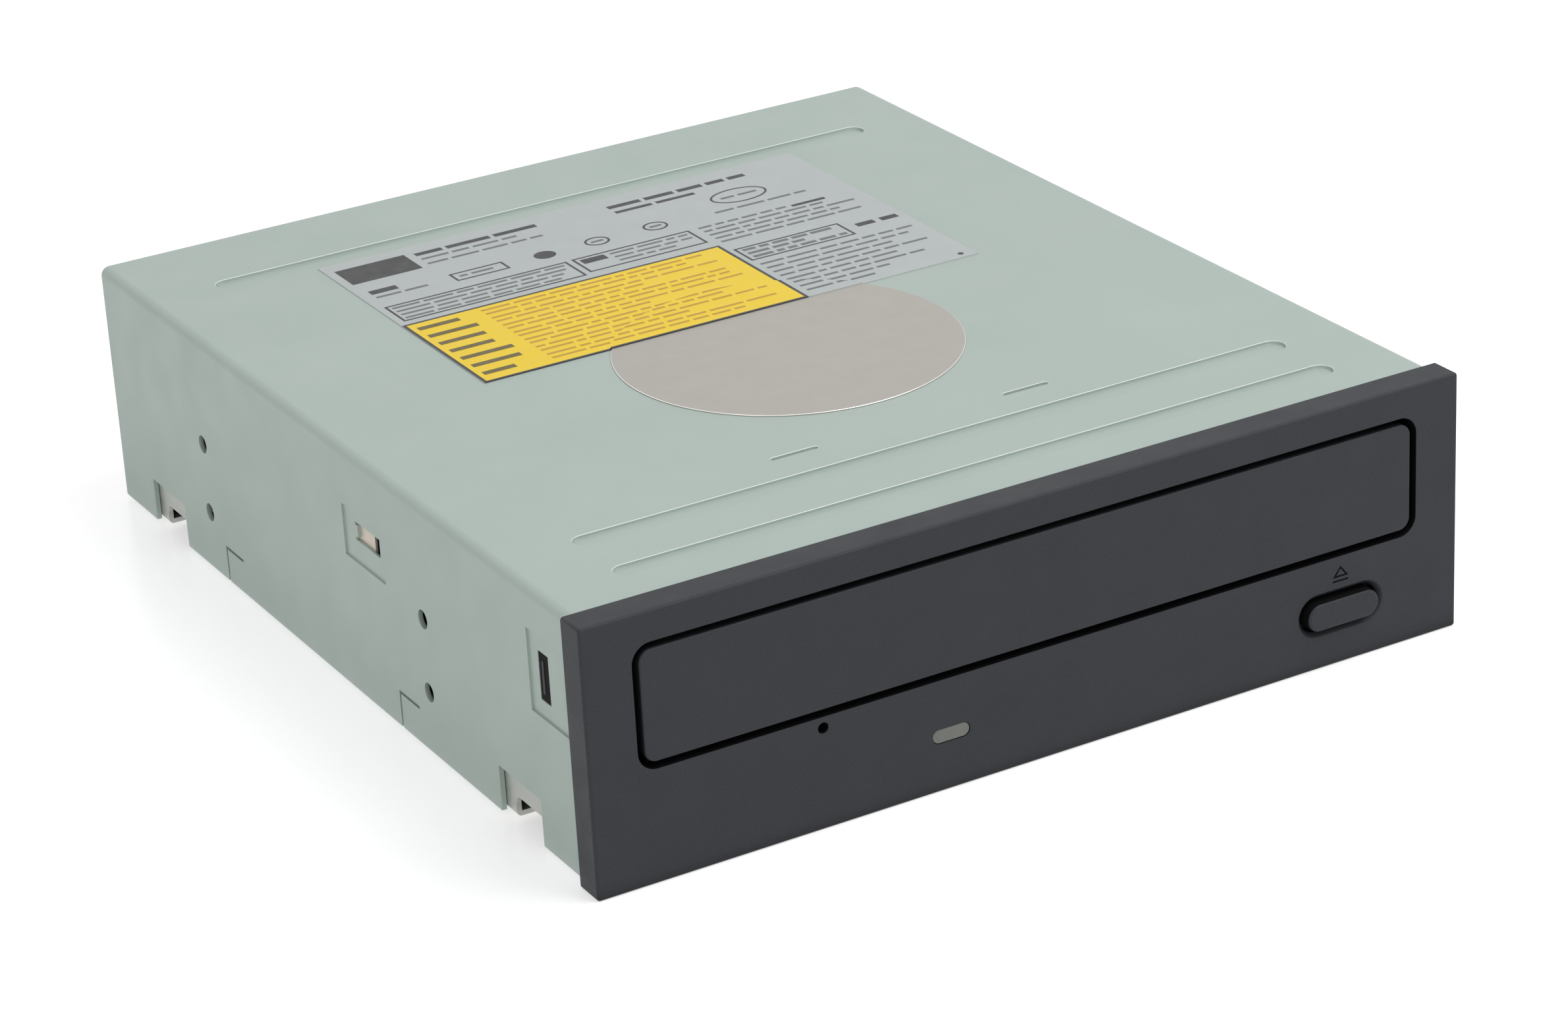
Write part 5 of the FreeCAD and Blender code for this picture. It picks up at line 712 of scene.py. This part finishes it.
# %% [markdown]
# Turned, cast and pressed metal has crisper edges than plastic, but they are still broken.

# %% Skins of the metal pieces
for node, edge in (("round_foil", 0.1), ("clamp_bridge", 0.08), ("pan_screws", 0.08), ("pickup_body", 0.2),
                   ("traverse_base", 0.08)):
    skin(node, edge * MM)

# %% [markdown]
# ## Snap plates behind the windows
# Through the window in each side of the cover the real drive shows a bright steel plate, which the cover
# snaps onto. It lies against the inside of the cover and fills the front two thirds of the window.

# %% Snap plates
PLATE_INNER, PLATE_OUTER = 71.7, 72.2


def plate(name, node, finish, low, high, round_by=0.1):
    """A box between two opposite corners, in millimetres, with soft edges."""
    work = bmesh.new()
    bmesh.ops.create_cube(work, size=1.0)
    for corner in work.verts:
        for axis in range(3):
            corner.co[axis] = (low[axis] if corner.co[axis] < 0 else high[axis]) * MM
    bmesh.ops.bevel(work, geom=work.edges[:], offset=round_by * MM, segments=2, affect="EDGES", profile=0.5)
    mesh = bpy.data.meshes.new(name)
    work.to_mesh(mesh)
    work.free()
    show(name, mesh, node, finish)


for label, side in (("left", -1), ("right", 1)):
    low_x, high_x = sorted((side * PLATE_INNER, side * PLATE_OUTER))
    plate("snap_plate_" + label, "bottom_pan", catch_steel, (low_x, -15.4, 24.5), (high_x, -6.0, 32.0))
print("snap plates behind both windows")

# %% [markdown]
# ## Small marks of light and shade
# The rolled rim of the foil draws a thin line of light at the front, given by a lighter, glossier metal: a
# painted highlight. The engraved eject sign is so narrow that its floor lies in shade, and so do the walls of
# the door opening and of the button; a near-black finish there is painted shade. These are the same meshes as
# before, with another finish on a few faces, because a separate shape would only lie over them.

# %% Foil rim, eject sign and gap walls
FRONT_FACE = -84.5 * MM
SIGN_X, SIGN_Z, SIGN_REACH = 52.4 * MM, 14.8 * MM, 1.8 * MM
OPENINGS_X, OPENINGS_LOW, OPENINGS_HIGH = 69 * MM, 3 * MM, 38.6 * MM


def in_sign(face):
    """Whether a face lies in the engraved eject sign."""
    return (abs(face.center.x - SIGN_X) < SIGN_REACH and abs(face.center.z - SIGN_Z) < SIGN_REACH
            and face.center.y > FRONT_FACE + 0.02 * MM)


def is_wall(face):
    """Whether a face runs backwards from the front."""
    return abs(face.normal.y) < 0.4


def in_opening(face):
    """Whether a face is a wall of an opening, a little behind the front face."""
    return (is_wall(face) and face.center.y > FRONT_FACE + 0.3 * MM
            and abs(face.center.x) < OPENINGS_X and OPENINGS_LOW < face.center.z < OPENINGS_HIGH)


# Painted shade on the sign and the gap walls, and a painted highlight on the foil rim.
for name, finish, wanted in (("front_bezel", painted_shade_black, lambda face: in_sign(face) or in_opening(face)),
                             ("eject_button", painted_shade_black, is_wall),
                             ("round_foil", foil_rim_highlight, lambda face: 0.2 < face.normal.z < 0.95)):
    refinish(bpy.data.objects[name + "_skin"], finish, wanted)

# %% [markdown]
# The slots near the front of both sides show the hooks of the bezel. A real hook is a narrow bar in a dark
# gap, and not a block that fills its slot, so a near-black plate lies on the hook as painted shade of the
# gap, and a narrow bar on the plate.

# %% Hooks of the bezel
GAP_INNER, GAP_OUTER = 72.52, 72.6
BAR_INNER, BAR_OUTER = 72.58, 72.68
for label, side in (("left", -1), ("right", 1)):
    low_x, high_x = sorted((side * GAP_INNER, side * GAP_OUTER))
    plate("hook_gap_shade_" + label, "front_bezel", painted_shade_black,
          (low_x, -71.7, 24.75), (high_x, -68.9, 32.05), 0.02)
    low_x, high_x = sorted((side * BAR_INNER, side * BAR_OUTER))
    plate("hook_bar_" + label, "front_bezel", bezel_plastic,
          (low_x, -70.3, 25.8), (high_x, -69.7, 30.9), 0.03)
print("hooks of the bezel in both front slots")

# %% [markdown]
# Below the door is a gap of one millimetre, and the mechanism must not show through it. A near-black strip
# behind the door fills the gap with painted shade. It belongs to the tray and clears the bezel all around, so
# it moves out with the door.

# %% Painted shade behind the door gap
LIP_HALF_WIDTH, LIP_LOW, LIP_HIGH = 64.0, 17.8, 18.95
plate("door_gap_shade", "tray_door", painted_shade_black,
      (-LIP_HALF_WIDTH, -82.28, LIP_LOW), (LIP_HALF_WIDTH, -81.8, LIP_HIGH), 0.05)
print("lip below the door:", round(LIP_HIGH - LIP_LOW, 2), "mm high")

# %% [markdown]
# ## Floor and backdrop
# The drive was photographed on glossy white board, lit so evenly that the board melts into the
# background. A white floor would show its far edge, so the floor fades out with distance, and
# what lies behind it is as white as it is. The floor keeps the shadow and a faint reflection.
# A little glow brings it up to white, but only for rays that make the picture, so it adds no light.

# %% White floor
FLOOR_REACH = 3.0
FLOOR_GLOW = 0.5


def larger(finish, first, second):
    """The larger of two values."""
    pick = add_node(finish, "ShaderNodeMath", operation="MAXIMUM")
    join(finish, first, pick.inputs[0])
    join(finish, second, pick.inputs[1])
    return pick.outputs["Value"]


def looked_at(finish):
    """1 for rays that make the picture: straight to the eye, off gloss or through glass."""
    rays = add_node(finish, "ShaderNodeLightPath")
    seen = rays.outputs["Is Camera Ray"]
    for kind in ("Is Glossy Ray", "Is Transmission Ray"):
        seen = larger(finish, seen, rays.outputs[kind])
    return seen


floor_mesh = bpy.data.meshes.new("floor")
corners = [(x * FLOOR_REACH, y * FLOOR_REACH, 0) for x, y in ((-1, -1), (1, -1), (1, 1), (-1, 1))]
floor_mesh.from_pydata(corners, [], [(0, 1, 2, 3)])
floor = bpy.data.objects.new("floor", floor_mesh)
floor.location.z = cad_low.z
bpy.context.collection.objects.link(floor)
white_board = new_finish("white_board", (0.86, 0.86, 0.86, 1), 0.22)
shader_of(white_board).inputs["Specular IOR Level"].default_value = 0.35
shader_of(white_board).inputs["Emission Color"].default_value = (1, 1, 1, 1)
glow = add_node(white_board, "ShaderNodeMath", operation="MULTIPLY")
glow.inputs[1].default_value = FLOOR_GLOW
join(white_board, looked_at(white_board), glow.inputs[0])
join(white_board, glow.outputs["Value"], shader_of(white_board).inputs["Emission Strength"])
floor_mesh.materials.append(white_board)
print("floor at", round(floor.location.z / MM, 2), "mm")

# %% [markdown]
# The fade is a mix with a clear shader, led by the distance from the drive. Seen from below, the floor is
# clear as well, so that the pan can be looked at. Light that leaves the pan meets the floor within a few
# millimetres, where no lamp reaches, so for such short rays the floor is clear too and the pan isn't black.

# %% Fade of the floor
FADE_START, FADE_END = 0.3, 0.9
SHORT_RAY = 4 * MM
spot = add_node(white_board, "ShaderNodeTexCoord")
reach = add_node(white_board, "ShaderNodeVectorMath", operation="LENGTH")
join(white_board, spot.outputs["Object"], reach.inputs[0])
faded = spread(white_board, reach.outputs["Value"], 0, 1, FADE_START, FADE_END)
side_seen = add_node(white_board, "ShaderNodeNewGeometry")
rays = add_node(white_board, "ShaderNodeLightPath")
close_by = add_node(white_board, "ShaderNodeMath", operation="LESS_THAN")
close_by.inputs[1].default_value = SHORT_RAY
join(white_board, rays.outputs["Ray Length"], close_by.inputs[0])
cleared = larger(white_board, faded, side_seen.outputs["Backfacing"])
cleared = larger(white_board, cleared, close_by.outputs["Value"])
clear = add_node(white_board, "ShaderNodeBsdfTransparent")
blend = add_node(white_board, "ShaderNodeMixShader")
sink = white_board.node_tree.nodes["Material Output"]
join(white_board, cleared, blend.inputs["Fac"])
join(white_board, shader_of(white_board).outputs["BSDF"], blend.inputs[1])
join(white_board, clear.outputs["BSDF"], blend.inputs[2])
join(white_board, blend.outputs["Shader"], sink.inputs["Surface"])
print("floor fades from", FADE_START, "to", FADE_END, "m")

# %% [markdown]
# ## Soft studio light
# Two large soft lamps and an even world. The high lamp makes the top the brightest side, as in
# the photograph, and the side lamp keeps the front from going black. What is looked at directly or
# in a mirror sees a pure white world, while the light that falls on the drive is half as strong.

# %% World and lamps
WORLD_LIGHT = 0.45
world = bpy.data.worlds.new("studio")
bpy.context.scene.world = world
world.use_nodes = True
sky = world.node_tree.nodes["Background"]
sky.inputs["Color"].default_value = (1, 1, 1, 1)
strength = spread(world, looked_at(world), WORLD_LIGHT, 1.0, 0.0, 1.0)
join(world, strength, sky.inputs["Strength"])


def soft_lamp(name, place, aim, size, power):
    """A square area lamp at a place, turned towards a point."""
    data = bpy.data.lights.new(name, "AREA")
    data.size = size
    data.energy = power
    lamp = bpy.data.objects.new(name, data)
    lamp.location = place
    lamp.rotation_euler = (Vector(aim) - Vector(place)).to_track_quat("-Z", "Y").to_euler()
    bpy.context.collection.objects.link(lamp)


soft_lamp("high_lamp", (0.42, -0.4, 0.95), (0, 0, 0), 0.7, 5.25)
soft_lamp("side_lamp", (-0.9, -0.8, 0.55), (0, 0, 0.02), 0.8, 1.5)
print("two lamps and a white world")

# %% [markdown]
# ## The camera
# The place and lens of the camera were found by fitting the corners, holes and beads of the
# drive in the photograph. Its three directions are written out, so no aiming is needed.

# %% Camera
CAMERA_PLACE = Vector((-0.3132, -0.5731, 0.3020))
TO_RIGHT = Vector((0.86178, -0.50486, -0.04975))
TO_TOP = Vector((0.24683, 0.33163, 0.91056))
TO_BACK = Vector((-0.44320, -0.79697, 0.41040))
FITTED_LENS = 103.43
camera_data = bpy.data.cameras.new("camera")
camera_data.sensor_width = 36.0
camera_data.lens = FITTED_LENS
camera_data.clip_start = 0.02
camera = bpy.data.objects.new("camera", camera_data)
turn = Matrix((TO_RIGHT, TO_TOP, TO_BACK)).transposed().to_4x4()
camera.matrix_world = Matrix.Translation(CAMERA_PLACE) @ turn
bpy.context.collection.objects.link(camera)
bpy.context.scene.camera = camera
bpy.context.scene.view_settings.view_transform = "Standard"
print("camera", round(CAMERA_PLACE.length, 3), "m from the drive")
